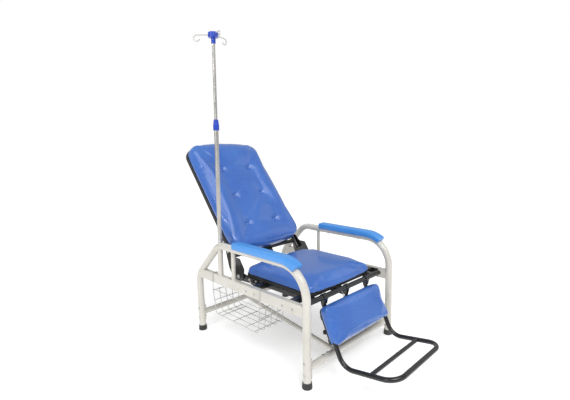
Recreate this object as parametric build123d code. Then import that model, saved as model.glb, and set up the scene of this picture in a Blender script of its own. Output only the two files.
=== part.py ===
from build123d import *
import os
from math import cos, radians, sin, sqrt

# Patient recliner chair with a drip pole, a wire basket, a linked leg rest and a pull-out foot
# rail.  Millimetres, +Z up.  The chair faces -Y and the pole stands on the -X ("near") side.
# Everything is drawn about the chair's middle plane (x = 0, front feet at y = 0) and moved at
# the end so that the origin is the bottom centre of the whole chair's box.

# ---------------------------------------------------------------- driving dimensions
FRAME_HALF_WIDTH = 337.0          # middle plane to each side frame's tube centre
ARM_HEIGHT = 531.0                # floor to the arm tube's centre
ARM_REAR_Y = 634.0                # where the arm line meets the rear slope
REAR_KNEE_Y = 836.0
REAR_KNEE_Z = 327.0
REAR_FOOT_Y = 822.0
FRONT_BEND_R = 142.0
REAR_BEND_R = 100.0
SIDE_TUBE_R = 19.0
SIDE_TUBE_WALL = 1.8

RAIL_HEIGHT = 50.0
RAIL_WIDTH = 25.0
RAIL_Z = 343.0
RAIL_REAR_Y = 815.0
TUBE_WALL = 1.5

SEAT_HALF_WIDTH = 257.0
SEAT_FRONT_Y = 46.0
SEAT_REAR_Y = 542.0
SEAT_CUSHION_T = 46.0
SEAT_BOARD_T = 12.0
SEAT_TUBE = 25.0
SEAT_FRAME_Z = 353.5              # centre of the seat frame's square tubes

BACK_HALF_WIDTH = 266.0
BACK_BOTTOM_U = 106.0             # from the back's pivot, along the back
BACK_TOP_U = 882.0
BACK_CUSHION_T = 72.0
BACK_BOARD_T = 10.0
BACK_TUBE_R = 12.5
BACK_ANGLE = 39.0                 # from the vertical
BACK_PIVOT_Y = 568.0
PIVOT_Z = 355.0                   # the back's pivot and the leg rest's hinge

LEG_HINGE_Y = 40.0
LEG_ANGLE = 25.0
LEG_PAD_HALF_WIDTH = 227.0
LEG_PAD_TOP_U = 35.8
LEG_PAD_LENGTH = 186.0
LEG_PAD_FRONT_W = 34.0
LEG_PAD_T = 40.0
LEG_BOARD_T = 8.0

FOOT_TUBE_R = 11.0
FOOT_HALF_WIDTH = 208.0
FOOT_FRONT_Y = -363.0
FOOT_FRONT_Z = 118.0
FOOT_LOW_Y = -101.0
FOOT_LOW_Z = 73.0

POLE_Y = 625.0
POLE_R = 11.0
POLE_TOP_Z = 1165.0
UPPER_POLE_R = 8.0
HUB_Z = 1573.0
HOOK_REACH = 84.0
HOOK_R = 15.0
HOOK_WIRE_R = 2.5
HOOK_BEARINGS = (133.8, 253.8, 373.8)

BASKET_FLOOR_Z = 150.0
BASKET_RIM_Z = 278.0
BASKET_FRONT_Y = 308.0
BASKET_REAR_Y = 658.0
BASKET_DEPTH = 162.0
WIRE_R = 2.2

# fits and clearances
RUNNING = 0.06
BOLT_PLAY = 0.2
SOFT_GAP = 0.3
SIDE_PLAY = 1.0

NEAR, FAR = -1, 1
FLOOR = 0.0
parts = {}


# ---------------------------------------------------------------- shared shapes
def rod(start, end, radius):
    """A solid round bar between two points."""
    start, end = Vector(*start), Vector(*end)
    axis = Plane(origin=start, z_dir=end - start)
    return axis * Cylinder(radius, (end - start).length, align=(Align.CENTER, Align.CENTER, Align.MIN))


def ring(start, end, outer, inner):
    """A sleeve between two points."""
    return rod(start, end, outer) - rod(start, end, inner)


def swept_rod(path, radius):
    return sweep(Plane(origin=path @ 0, z_dir=path % 0) * Circle(radius), path=path)


def swept_tube(path, outer, wall):
    return swept_rod(path, outer) - swept_rod(path, outer - wall)


def block(x_range, y_range, z_range):
    size = [high - low for low, high in (x_range, y_range, z_range)]
    return Pos(x_range[0], y_range[0], z_range[0]) * Box(*size, align=Align.MIN)


def prism(points, low, high, corner=0.0):
    """A flat plate with the given outline, its corners rounded, between two heights."""
    outline = Polygon(*points, align=None)
    if corner:
        outline = fillet(outline.vertices(), corner)
    return Pos(0, 0, low) * extrude(outline, high - low, dir=(0, 0, 1))


def side_plate(points, x_low, x_high, corner=0.0, plane=Plane.YZ):
    """A flat plate standing in the plane of the chair's sides."""
    return plane * prism(points, x_low, x_high, corner)


def span(side, inner, outer):
    """The x range of something lying between two distances from the middle plane."""
    return (inner, outer) if side > 0 else (-outer, -inner)


def bolt(seat_x, side, y, z, radius, grip, head_r, head_t, nut_t):
    """A round-headed bolt along X: head against seat_x, grip long, and a nut on its inner end."""
    head = rod((seat_x, y, z), (seat_x + side * head_t, y, z), head_r)
    head = fillet(head.edges().sort_by(Axis.X)[-1 if side > 0 else 0], head_t * 0.6)
    shank = rod((seat_x, y, z), (seat_x - side * (grip + nut_t + 1.5), y, z), radius)
    nut_plane = Plane(origin=(seat_x - side * grip, y, z), z_dir=(-side, 0, 0))
    nut = nut_plane * extrude(RegularPolygon(radius * 1.75, 6), nut_t)
    return head + shank + nut


def keep(name, *solids):
    """File a node's solids under its name."""
    flat = []
    for shape in solids:
        flat.extend(shape.solids())
    parts[name] = Compound(flat) if len(flat) > 1 else flat[0]


# ---------------------------------------------------------------- side frames, feet and rails
CAP_FLOOR = 6.0
CAP_HEIGHT = 27.0
CAP_TOP_R = SIDE_TUBE_R + 2.6
CAP_BOTTOM_R = SIDE_TUBE_R + 4.6

FRONT_FOOT = Vector(0, 0, FLOOR)
REAR_FOOT = Vector(0, REAR_FOOT_Y, FLOOR)
FRONT_LEG_DIR = Vector(0, 0, 1)
REAR_LEG_DIR = Vector(0, REAR_KNEE_Y - REAR_FOOT_Y, REAR_KNEE_Z).normalized()


def side_path(x):
    start = FRONT_FOOT + FRONT_LEG_DIR * CAP_FLOOR
    end = REAR_FOOT + REAR_LEG_DIR * CAP_FLOOR
    return FilletPolyline(
        (x, start.Y, start.Z),
        (x, 0, ARM_HEIGHT),
        (x, ARM_REAR_Y, ARM_HEIGHT),
        (x, REAR_KNEE_Y, REAR_KNEE_Z),
        (x, end.Y, end.Z),
        radius=[FRONT_BEND_R, REAR_BEND_R, REAR_BEND_R],
    )


STRETCHER_R = 16.0
FRONT_STRETCHER_Z = 88.0
REAR_STRETCHER_Z = 100.0
SADDLE_T = 3.0
SADDLE_HALF_HEIGHT = 44.0
SADDLE_BOLT_SPREAD = 28.0
BOLT_R = 3.0
BOLT_HEAD_R = 5.8
BOLT_HEAD_T = 3.6
NUT_T = 5.0

RAIL_BOLT_Y = (76.0, 139.5, 335.6, 397.2)
RAIL_BOLT_Z = 337.5

PAD_SCREW_Y = (210.0, 430.0)
PAD_SCREW_R = 2.5

STRUT_Y = 512.0
STRUT_R = 11.0
SOCKET_R = 14.0
POLE_PLAY = 0.3


def leg_point(foot, direction, height):
    """The point of a leg's centre line at a height above the floor."""
    return foot + direction * (height / direction.Z)


def stretcher_places():
    """Foot, leg direction and height of the front and the rear stretcher."""
    return (
        ("front", FRONT_FOOT, FRONT_LEG_DIR, FRONT_STRETCHER_Z),
        ("rear", REAR_FOOT, REAR_LEG_DIR, REAR_STRETCHER_Z),
    )


def stretcher_bolt_points(foot, direction, height):
    return [leg_point(foot, direction, height + step * SADDLE_BOLT_SPREAD) for step in (-1, 1)]


side_solids = {}
for side, label in ((NEAR, "near"), (FAR, "far")):
    plane_x = side * FRAME_HALF_WIDTH
    path = side_path(plane_x)
    side_solids[side] = swept_rod(path, SIDE_TUBE_R)
    frame_tube = side_solids[side] - swept_rod(path, SIDE_TUBE_R - SIDE_TUBE_WALL)
    for _, foot, direction, height in stretcher_places():
        for point in stretcher_bolt_points(foot, direction, height):
            frame_tube -= rod(
                (plane_x - 30, point.Y, point.Z), (plane_x + 30, point.Y, point.Z), BOLT_R + BOLT_PLAY
            )
    for y in PAD_SCREW_Y:
        frame_tube -= rod(
            (plane_x, y, ARM_HEIGHT - 30), (plane_x, y, ARM_HEIGHT + 30), PAD_SCREW_R + BOLT_PLAY
        )
    if side == NEAR:
        frame_tube -= rod(
            (plane_x, POLE_Y, ARM_HEIGHT - 40), (plane_x, POLE_Y, ARM_HEIGHT + 40), POLE_R + POLE_PLAY
        )
    keep(f"side_frame_{label}", frame_tube)


def foot_cap(x, foot, direction):
    axis = Plane(origin=(x, foot.Y, foot.Z), z_dir=direction)
    below = 3.0
    body = axis * Pos(0, 0, -below) * Cone(
        CAP_BOTTOM_R, CAP_TOP_R, CAP_HEIGHT + below, align=(Align.CENTER, Align.CENTER, Align.MIN)
    )
    body -= axis * Pos(0, 0, CAP_FLOOR) * Cylinder(
        SIDE_TUBE_R, CAP_HEIGHT, align=(Align.CENTER, Align.CENTER, Align.MIN)
    )
    reach = 60.0
    below_floor = block((x - reach, x + reach), (foot.Y - reach, foot.Y + reach), (-reach, FLOOR))
    return body - below_floor


keep(
    "foot_caps",
    *[
        foot_cap(side * FRAME_HALF_WIDTH, foot, direction)
        for side in (NEAR, FAR)
        for foot, direction in ((FRONT_FOOT, FRONT_LEG_DIR), (REAR_FOOT, REAR_LEG_DIR))
    ],
)

rail_low = RAIL_Z - RAIL_HEIGHT / 2
rail_top = RAIL_Z + RAIL_HEIGHT / 2
for side, label in ((NEAR, "near"), (FAR, "far")):
    plane_x = side * FRAME_HALF_WIDTH
    half = RAIL_WIDTH / 2
    rail = block((plane_x - half, plane_x + half), (0, RAIL_REAR_Y), (rail_low, rail_top))
    rail -= block(
        (plane_x - half + TUBE_WALL, plane_x + half - TUBE_WALL),
        (0, RAIL_REAR_Y),
        (rail_low + TUBE_WALL, rail_top - TUBE_WALL),
    )
    rail -= side_solids[side]
    for y in RAIL_BOLT_Y:
        rail -= rod((plane_x - 30, y, RAIL_BOLT_Z), (plane_x + 30, y, RAIL_BOLT_Z), BOLT_R + BOLT_PLAY)
    keep(f"side_rail_{label}", rail)
    strut = ring((plane_x, STRUT_Y, rail_top), (plane_x, STRUT_Y, ARM_HEIGHT), STRUT_R, STRUT_R - TUBE_WALL)
    keep(f"arm_strut_{label}", strut - side_solids[side])

near_x = -FRAME_HALF_WIDTH
socket = ring((near_x, POLE_Y, rail_top), (near_x, POLE_Y, ARM_HEIGHT - 4), SOCKET_R, POLE_R + POLE_PLAY)
keep("pole_socket", socket - side_solids[NEAR])


# ---------------------------------------------------------------- stretchers and the middle brace
def saddle(x, side, foot, direction, height):
    """A half sleeve that hugs the inner side of a leg."""
    centre = leg_point(foot, direction, height)
    axis = Plane(origin=(x, centre.Y, centre.Z), x_dir=(1, 0, 0), z_dir=direction)
    shell = Cylinder(SIDE_TUBE_R + SADDLE_T, 2 * SADDLE_HALF_HEIGHT) - Cylinder(
        SIDE_TUBE_R, 2 * SADDLE_HALF_HEIGHT
    )
    inner_side = Pos(-side * (SIDE_TUBE_R + 4), 0, 0) * Box(
        SIDE_TUBE_R * 1.5, 4 * SIDE_TUBE_R, 4 * SADDLE_HALF_HEIGHT
    )
    return axis * (shell & inner_side)


stretcher_bolts = []
stretcher_solids = {}
for label, foot, direction, height in stretcher_places():
    centre = leg_point(foot, direction, height)
    ends = [(side * FRAME_HALF_WIDTH, centre.Y, centre.Z) for side in (NEAR, FAR)]
    outer = rod(*ends, STRETCHER_R)
    for side in (NEAR, FAR):
        x = side * FRAME_HALF_WIDTH
        outer -= Plane(origin=(x, centre.Y, centre.Z), z_dir=direction) * Cylinder(
            SIDE_TUBE_R + SADDLE_T / 2, 4 * STRETCHER_R
        )
    stretcher = outer - rod(*ends, STRETCHER_R - TUBE_WALL)
    for side in (NEAR, FAR):
        stretcher += saddle(side * FRAME_HALF_WIDTH, side, foot, direction, height)
    for point in stretcher_bolt_points(foot, direction, height):
        for side in (NEAR, FAR):
            x = side * FRAME_HALF_WIDTH
            stretcher -= rod((x - 40, point.Y, point.Z), (x + 40, point.Y, point.Z), BOLT_R + BOLT_PLAY)
            stretcher_bolts.append(
                bolt(
                    side * (FRAME_HALF_WIDTH + SIDE_TUBE_R),
                    side,
                    point.Y,
                    point.Z,
                    BOLT_R,
                    2 * SIDE_TUBE_R + SADDLE_T,
                    BOLT_HEAD_R,
                    BOLT_HEAD_T,
                    NUT_T,
                )
            )
    stretcher_solids[label] = stretcher

# The brace runs aslant from the middle of the rear stretcher to the near part of the front one.
BRACE_R = 12.0
BRACE_REAR_X = -8.0
BRACE_FRONT_X = -135.0
rear_centre = leg_point(REAR_FOOT, REAR_LEG_DIR, REAR_STRETCHER_Z)
brace_ends = (
    (BRACE_REAR_X, rear_centre.Y, REAR_STRETCHER_Z),
    (BRACE_FRONT_X, 0.0, FRONT_STRETCHER_Z),
)
brace = rod(*brace_ends, BRACE_R) - rod(*brace_ends, BRACE_R - TUBE_WALL)
for label, foot, direction, height in stretcher_places():
    centre = leg_point(foot, direction, height)
    brace -= rod((-400, centre.Y, centre.Z), (400, centre.Y, centre.Z), STRETCHER_R)
keep("middle_brace", brace)

# Two tie bolts pass down through the front stretcher beside the brace.
TIE_BOLT_X = (-229.0, -197.0)
tie_bolts = []
for x in TIE_BOLT_X:
    top = FRONT_STRETCHER_Z + STRETCHER_R
    bottom = FRONT_STRETCHER_Z - STRETCHER_R
    stretcher_solids["front"] -= rod((x, 0, bottom - 10), (x, 0, top + 10), BOLT_R + BOLT_PLAY)
    head = rod((x, 0, top), (x, 0, top + BOLT_HEAD_T), BOLT_HEAD_R)
    shank = rod((x, 0, bottom - NUT_T - 1.5), (x, 0, top), BOLT_R)
    nut = Pos(x, 0, bottom - NUT_T) * extrude(RegularPolygon(BOLT_R * 1.75, 6), NUT_T)
    tie_bolts.append(head + shank + nut)
keep("front_stretcher", stretcher_solids["front"])
keep("rear_stretcher", stretcher_solids["rear"])
keep("stretcher_bolts", *stretcher_bolts)
keep("tie_bolts", *tie_bolts)

# ---------------------------------------------------------------- armrest pads
PAD_HALF_WIDTH = 29.0
PAD_TOP_Z = 571.0
PAD_LIP_Z = 535.0
PAD_REAR_Y = 490.0
PAD_WRAP_ANGLE = 33.0             # how far the pad follows the front bend
PAD_EDGE_R = 9.0

pad_screws = []
for side, label in ((NEAR, "near"), (FAR, "far")):
    x = side * FRAME_HALF_WIDTH
    bend_centre_z = ARM_HEIGHT - FRONT_BEND_R
    wrap = radians(PAD_WRAP_ANGLE)
    tip = (x, FRONT_BEND_R * (1 - sin(wrap)), bend_centre_z + FRONT_BEND_R * cos(wrap))
    half_wrap = (x, FRONT_BEND_R * (1 - sin(wrap / 2)), bend_centre_z + FRONT_BEND_R * cos(wrap / 2))
    straight = Line((x, PAD_REAR_Y, ARM_HEIGHT), (x, FRONT_BEND_R, ARM_HEIGHT))
    bend = ThreePointArc((x, FRONT_BEND_R, ARM_HEIGHT), half_wrap, tip)
    pad_path = Wire([straight.edge(), bend.edge()])
    profile_plane = Plane(origin=(x, PAD_REAR_Y, ARM_HEIGHT), x_dir=(1, 0, 0), z_dir=(0, -1, 0))
    profile = Pos(0, (PAD_TOP_Z + PAD_LIP_Z) / 2 - ARM_HEIGHT) * RectangleRounded(
        2 * PAD_HALF_WIDTH, PAD_TOP_Z - PAD_LIP_Z, PAD_EDGE_R
    )
    pad = sweep(profile_plane * profile, path=pad_path)
    pad -= swept_rod(side_path(x), SIDE_TUBE_R + SOFT_GAP)
    for y in PAD_SCREW_Y:
        screw_top = PAD_TOP_Z - 10
        head_low = ARM_HEIGHT - SIDE_TUBE_R - 3.0
        pad -= rod((x, y, ARM_HEIGHT), (x, y, screw_top + 1), PAD_SCREW_R + BOLT_PLAY)
        screw = rod((x, y, head_low), (x, y, head_low + 3.0), 5.0)
        pad_screws.append(screw + rod((x, y, head_low), (x, y, screw_top), PAD_SCREW_R))
    keep(f"armrest_pad_{label}", pad)
keep("armrest_screws", *pad_screws)

# ---------------------------------------------------------------- seat
half_tube = SEAT_TUBE / 2
SIDE_MEMBER_OUTER = 250.0
SEAT_MEMBER_REAR_Y = 520.0
cross_y = (
    (RAIL_BOLT_Y[0] + RAIL_BOLT_Y[1]) / 2,
    (RAIL_BOLT_Y[2] + RAIL_BOLT_Y[3]) / 2,
    SEAT_MEMBER_REAR_Y - half_tube,
)
PLATE_T = 4.0
PLATE_MARGIN = 15.0
rail_inner = FRAME_HALF_WIDTH - RAIL_WIDTH / 2
seat_low = SEAT_FRAME_Z - half_tube
seat_top = SEAT_FRAME_Z + half_tube
member_inner = SIDE_MEMBER_OUTER - SEAT_TUBE
HINGE_TUBE_R = 12.5
HINGE_TUBE_HALF = 298.0


def seat_members(shrink):
    """The seat frame's square tubes, or their hollows when shrunk by the wall."""
    z_range = (seat_low + shrink, seat_top - shrink)
    solids = []
    for side in (NEAR, FAR):
        x_range = span(side, member_inner + shrink, SIDE_MEMBER_OUTER - shrink)
        solids.append(block(x_range, (LEG_HINGE_Y + 6, SEAT_MEMBER_REAR_Y - shrink), z_range))
    for index, y in enumerate(cross_y):
        reach = rail_inner - PLATE_T if index < 2 else SIDE_MEMBER_OUTER - 1
        y_range = (y - half_tube + shrink, y + half_tube - shrink)
        solids.append(block((-reach, reach), y_range, z_range))
    return solids


seat_frame = seat_members(0)[0]
for solid in seat_members(0)[1:]:
    seat_frame += solid
for solid in seat_members(TUBE_WALL):
    seat_frame -= solid
seat_frame -= rod((-400, LEG_HINGE_Y, PIVOT_Z), (400, LEG_HINGE_Y, PIVOT_Z), HINGE_TUBE_R)
rail_bolts = []
for side in (NEAR, FAR):
    for pair in (RAIL_BOLT_Y[:2], RAIL_BOLT_Y[2:]):
        seat_frame += block(
            span(side, rail_inner - PLATE_T, rail_inner),
            (pair[0] - PLATE_MARGIN, pair[1] + PLATE_MARGIN),
            (rail_low + 3, seat_top - 1),
        )
    for y in RAIL_BOLT_Y:
        x = side * rail_inner
        seat_frame -= rod((x - 20, y, RAIL_BOLT_Z), (x + 20, y, RAIL_BOLT_Z), BOLT_R + BOLT_PLAY)
        rail_bolts.append(
            bolt(
                side * (FRAME_HALF_WIDTH + RAIL_WIDTH / 2),
                side,
                y,
                RAIL_BOLT_Z,
                BOLT_R,
                RAIL_WIDTH + PLATE_T,
                BOLT_HEAD_R,
                BOLT_HEAD_T,
                NUT_T,
            )
        )
keep("rail_bolts", *rail_bolts)

# Hinge brackets for the back: a plate on each side member, with two bolts and the pivot bolt.
BRACKET_T = 5.0
PIVOT_R = 6.0
BRACKET_BOLT_Y = (434.0, 484.0)
M8_R = 4.0
bracket_outline = [
    (418, seat_low - 3),
    (BACK_PIVOT_Y - 6, PIVOT_Z - 24),
    (BACK_PIVOT_Y + 22, PIVOT_Z - 18),
    (BACK_PIVOT_Y + 22, PIVOT_Z + 18),
    (BACK_PIVOT_Y - 6, PIVOT_Z + 22),
    (470, seat_top),
    (418, seat_top),
]
bracket_bolts, pivot_bolts = [], []
for side, label in ((NEAR, "near"), (FAR, "far")):
    low, high = span(side, SIDE_MEMBER_OUTER, SIDE_MEMBER_OUTER + BRACKET_T)
    bracket = side_plate(bracket_outline, low, high, corner=6.0)
    bracket -= rod((low - 5, BACK_PIVOT_Y, PIVOT_Z), (high + 5, BACK_PIVOT_Y, PIVOT_Z), PIVOT_R)
    for y in BRACKET_BOLT_Y:
        hole = rod(
            (side * 200, y, SEAT_FRAME_Z), (side * 300, y, SEAT_FRAME_Z), M8_R + BOLT_PLAY
        )
        bracket -= hole
        seat_frame -= hole
        bracket_bolts.append(
            bolt(
                side * (SIDE_MEMBER_OUTER + BRACKET_T),
                side,
                y,
                SEAT_FRAME_Z,
                M8_R,
                BRACKET_T + SEAT_TUBE,
                7.0,
                4.5,
                6.5,
            )
        )
    keep(f"back_hinge_bracket_{label}", bracket)
keep("bracket_bolts", *bracket_bolts)

# The hinge tube crosses the front of the seat frame and carries the leg rest.
keep(
    "leg_hinge_tube",
    ring(
        (-HINGE_TUBE_HALF, LEG_HINGE_Y, PIVOT_Z), (HINGE_TUBE_HALF, LEG_HINGE_Y, PIVOT_Z), HINGE_TUBE_R, 10.5
    ),
)

# Seat board and cushion, with a gently bowed front edge.
BOARD_INSET = 5.0
SEAT_CORNER_R = 44.0
SEAT_REAR_CORNER_R = 52.0
SEAT_BOW = 10.0
BOARD_FRONT_Y = LEG_HINGE_Y + 18.0


def bowed_slab(half_width, front_y, rear_y, bow, inset, low, high):
    """A slab with round corners whose front edge bulges forward by bow in the middle."""
    front = ThreePointArc((-half_width, front_y + bow), (0, front_y - bow / 2), (half_width, front_y + bow))
    outline = make_face(
        [
            front.edge(),
            Edge.make_line((half_width, front_y + bow), (half_width, rear_y)),
            Edge.make_line((half_width, rear_y), (-half_width, rear_y)),
            Edge.make_line((-half_width, rear_y), (-half_width, front_y + bow)),
        ]
    )
    outline = fillet(outline.vertices().group_by(Axis.Y)[0], SEAT_CORNER_R - inset)
    outline = fillet(outline.vertices().group_by(Axis.Y)[-1], SEAT_REAR_CORNER_R - inset)
    return Pos(0, 0, low) * extrude(outline, high - low)


board_top = seat_top + SEAT_BOARD_T
seat_board = bowed_slab(
    SIDE_MEMBER_OUTER - 1,
    BOARD_FRONT_Y + 3,
    SEAT_REAR_Y - BOARD_INSET,
    SEAT_BOW / 2,
    BOARD_INSET,
    seat_top,
    board_top,
)
SCREW_R = 2.5
seat_screws = []
for x in (-(member_inner + half_tube), member_inner + half_tube):
    for y in (150.0, 320.0, 470.0):
        hole = rod((x, y, seat_low - 5), (x, y, board_top - 2), SCREW_R + BOLT_PLAY)
        seat_board -= hole
        seat_frame -= hole
        head = rod((x, y, seat_low - 2.5), (x, y, seat_low), 5.0)
        seat_screws.append(head + rod((x, y, seat_low - 2.5), (x, y, board_top - 3), SCREW_R))
keep("seat_board", seat_board)
keep("seat_screws", *seat_screws)
seat_cushion = bowed_slab(
    SEAT_HALF_WIDTH,
    SEAT_FRONT_Y,
    SEAT_REAR_Y,
    SEAT_BOW,
    0,
    board_top,
    board_top + SEAT_CUSHION_T,
)
seat_cushion = fillet(seat_cushion.faces().sort_by(Axis.Z)[-1].edges(), 16.0)
keep("seat_cushion", seat_cushion)

# ---------------------------------------------------------------- gas spring under the seat
CRANK_R = 40.0
CRANK_TILT = 10.0                 # the cranks lean back this much from straight down
CRANK_PIN_R = 4.0
CRANK_PLATE_T = 5.0
EYE_R = 9.0
EYE_HALF = 4.0
GAS_X = 26.0
GAS_CYLINDER_R = 14.0
GAS_WALL = 2.0
GAS_ROD_R = 4.0
GAS_ROD_DRIFT = 3.0               # the rod's end rises and falls this much on its crank
GAS_LOW_Y = cross_y[0] + 14.0
GAS_HIGH_Y = 370.0
crank_offset = (CRANK_R * sin(radians(CRANK_TILT)), -CRANK_R * cos(radians(CRANK_TILT)))
back_pin = (BACK_PIVOT_Y + crank_offset[0], PIVOT_Z + crank_offset[1])
leg_pin = (LEG_HINGE_Y + crank_offset[0], PIVOT_Z + crank_offset[1])
gas_z = back_pin[1] + GAS_ROD_DRIFT - 0.6

cylinder = rod((GAS_X, GAS_LOW_Y, gas_z), (GAS_X, GAS_HIGH_Y, gas_z), GAS_CYLINDER_R)
cylinder -= rod((GAS_X, GAS_LOW_Y + 6, gas_z), (GAS_X, GAS_HIGH_Y - 5, gas_z), GAS_CYLINDER_R - GAS_WALL)
mouth_r = GAS_ROD_R + GAS_ROD_DRIFT + 1.2
cylinder -= rod((GAS_X, GAS_HIGH_Y - 6, gas_z), (GAS_X, GAS_HIGH_Y + 1, gas_z), mouth_r)
cylinder += rod((GAS_X, cross_y[0] + 6, gas_z), (GAS_X, GAS_LOW_Y + 1, gas_z), 5.0)
cylinder += rod((GAS_X - EYE_HALF, cross_y[0], gas_z), (GAS_X + EYE_HALF, cross_y[0], gas_z), EYE_R)
cylinder -= rod(
    (GAS_X - EYE_HALF - 1, cross_y[0], gas_z),
    (GAS_X + EYE_HALF + 1, cross_y[0], gas_z),
    CRANK_PIN_R + RUNNING,
)
keep("gas_spring_cylinder", cylinder)
ear_outline = [
    (cross_y[0] - 11, seat_low),
    (cross_y[0] - 11, gas_z - 9),
    (cross_y[0] + 11, gas_z - 9),
    (cross_y[0] + 11, seat_low),
]
for x_low in (GAS_X - EYE_HALF - SIDE_PLAY - PLATE_T, GAS_X + EYE_HALF + SIDE_PLAY):
    ear = side_plate(ear_outline, x_low, x_low + PLATE_T)
    ear -= rod((x_low - 1, cross_y[0], gas_z), (x_low + 6, cross_y[0], gas_z), CRANK_PIN_R)
    seat_frame += ear
keep("seat_frame", seat_frame)
ear_outer = EYE_HALF + SIDE_PLAY + PLATE_T


def headed_pin(x_low, x_high, y, z, radius):
    """A clevis pin with a flat head at each end."""
    shank = rod((x_low - 3, y, z), (x_high + 3, y, z), radius)
    heads = [rod((x_low - 3, y, z), (x_low, y, z), radius + 3), rod((x_high, y, z), (x_high + 3, y, z), radius + 3)]
    return shank + heads[0] + heads[1]


keep("gas_spring_pin", headed_pin(GAS_X - ear_outer, GAS_X + ear_outer, cross_y[0], gas_z, CRANK_PIN_R))

# ---------------------------------------------------------------- release lever (near side)
LEVER_Y = 460.0
LEVER_Z = 346.0
LEVER_T = 5.0
LEVER_INNER = 261.0
lever_outline = [
    (LEVER_Y + 9, LEVER_Z - 7),
    (LEVER_Y + 9, LEVER_Z + 8),
    (LEVER_Y - 9, LEVER_Z + 8),
    (LEVER_Y - 72, LEVER_Z - 8),
    (LEVER_Y - 72, LEVER_Z - 20),
]
lever_low, lever_high = span(NEAR, LEVER_INNER, LEVER_INNER + LEVER_T)
lever_pin_r = 4.0
lever = side_plate(lever_outline, lever_low, lever_high, corner=4.0)
lever -= rod(
    (lever_low - 1, LEVER_Y, LEVER_Z), (lever_high + 1, LEVER_Y, LEVER_Z), lever_pin_r + RUNNING
)
GRIP_WALL = 2.0
grip_outline = [
    (LEVER_Y - 44, LEVER_Z + 2),
    (LEVER_Y - 76, LEVER_Z - 5),
    (LEVER_Y - 76, LEVER_Z - 23),
    (LEVER_Y - 44, LEVER_Z - 16),
]
grip = side_plate(grip_outline, lever_low - GRIP_WALL, lever_high + GRIP_WALL, corner=3.0)
keep("release_lever", lever)
keep("lever_grip", grip - lever)
lever_bolt = rod((-SIDE_MEMBER_OUTER - BRACKET_T, LEVER_Y, LEVER_Z), (lever_low - 1, LEVER_Y, LEVER_Z), lever_pin_r)
lever_bolt += rod(
    (-SIDE_MEMBER_OUTER - BRACKET_T, LEVER_Y, LEVER_Z), (lever_high + SIDE_PLAY / 2, LEVER_Y, LEVER_Z), 7.0
)
lever_bolt += rod((lever_low - SIDE_PLAY / 2 - 3, LEVER_Y, LEVER_Z), (lever_low - SIDE_PLAY / 2, LEVER_Y, LEVER_Z), 7.0)
keep("lever_pivot_bolt", lever_bolt)

# ---------------------------------------------------------------- backrest
# Its own plane: u runs up along the back from the pivot, w points out of its front, x stays x.
back_plane = Plane(
    origin=(0, BACK_PIVOT_Y, PIVOT_Z),
    x_dir=(0, sin(radians(BACK_ANGLE)), cos(radians(BACK_ANGLE))),
    z_dir=(1, 0, 0),
)
back_low_w = -8.0
frame_w = back_low_w + BACK_TUBE_R
board_w = back_low_w + 2 * BACK_TUBE_R
cushion_w = board_w + BACK_BOARD_T
MOVING_PLATE_INNER = SIDE_MEMBER_OUTER + BRACKET_T + SIDE_PLAY
MOVING_PLATE_T = 5.0
back_tube_x = MOVING_PLATE_INNER - BACK_TUBE_R
BACK_TUBE_LOW_U = 70.0
BACK_CROSS_U = (118.0, 480.0)
BACK_CORNER_R = 80.0


def back_point(x, u, w):
    return back_plane.from_local_coords((u, w, x))


def back_rod(start, end, radius):
    return rod(back_point(*start), back_point(*end), radius)


back_path = FilletPolyline(
    back_point(-back_tube_x, BACK_TUBE_LOW_U, frame_w),
    back_point(-back_tube_x, BACK_TOP_U - 24, frame_w),
    back_point(back_tube_x, BACK_TOP_U - 24, frame_w),
    back_point(back_tube_x, BACK_TUBE_LOW_U, frame_w),
    radius=[BACK_CORNER_R - 13, BACK_CORNER_R - 13],
)
back_outer = swept_rod(back_path, BACK_TUBE_R)
back_hollow = swept_rod(back_path, BACK_TUBE_R - TUBE_WALL)
for u in BACK_CROSS_U:
    back_outer += back_rod((-back_tube_x, u, frame_w), (back_tube_x, u, frame_w), BACK_TUBE_R - 1)
    back_hollow += back_rod((-back_tube_x, u, frame_w), (back_tube_x, u, frame_w), BACK_TUBE_R - 1 - TUBE_WALL)
back_frame = back_outer - back_hollow

# Crank plates hang from the lower cross tube, past the pivot line, to the crank pin.
pin_local = back_plane.to_local_coords(Vector(0, *back_pin))
crank_x = (
    -(EYE_HALF + SIDE_PLAY + CRANK_PLATE_T),
    EYE_HALF + SIDE_PLAY,
    GAS_X - EYE_HALF - SIDE_PLAY - PLATE_T,
    GAS_X + EYE_HALF + SIDE_PLAY,
)
crank_pin_half_r = 11.0
for x_low in crank_x:
    thick = CRANK_PLATE_T if x_low < 10 else PLATE_T
    lower_end = back_plane * Pos(pin_local.X, pin_local.Y, x_low) * Cylinder(
        crank_pin_half_r, thick, align=(Align.CENTER, Align.CENTER, Align.MIN)
    )
    strap_outline = [
        (BACK_CROSS_U[0] - 2, frame_w - 10),
        (BACK_CROSS_U[0] - 2, frame_w + 10),
        (20, 12),
        (pin_local.X + 6, pin_local.Y + 9.2),
        (pin_local.X - 6, pin_local.Y - 9.2),
        (6, -14),
    ]
    strap = side_plate(strap_outline, x_low, x_low + thick, plane=back_plane)
    crank = strap + lower_end
    crank -= back_rod((-400, BACK_CROSS_U[0], frame_w), (400, BACK_CROSS_U[0], frame_w), BACK_TUBE_R - 2)
    crank -= rod((x_low - 1, *back_pin), (x_low + thick + 1, *back_pin), CRANK_PIN_R)
    back_frame += crank
keep("crank_pin", headed_pin(crank_x[0], crank_x[3] + PLATE_T, *back_pin, CRANK_PIN_R))

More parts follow.
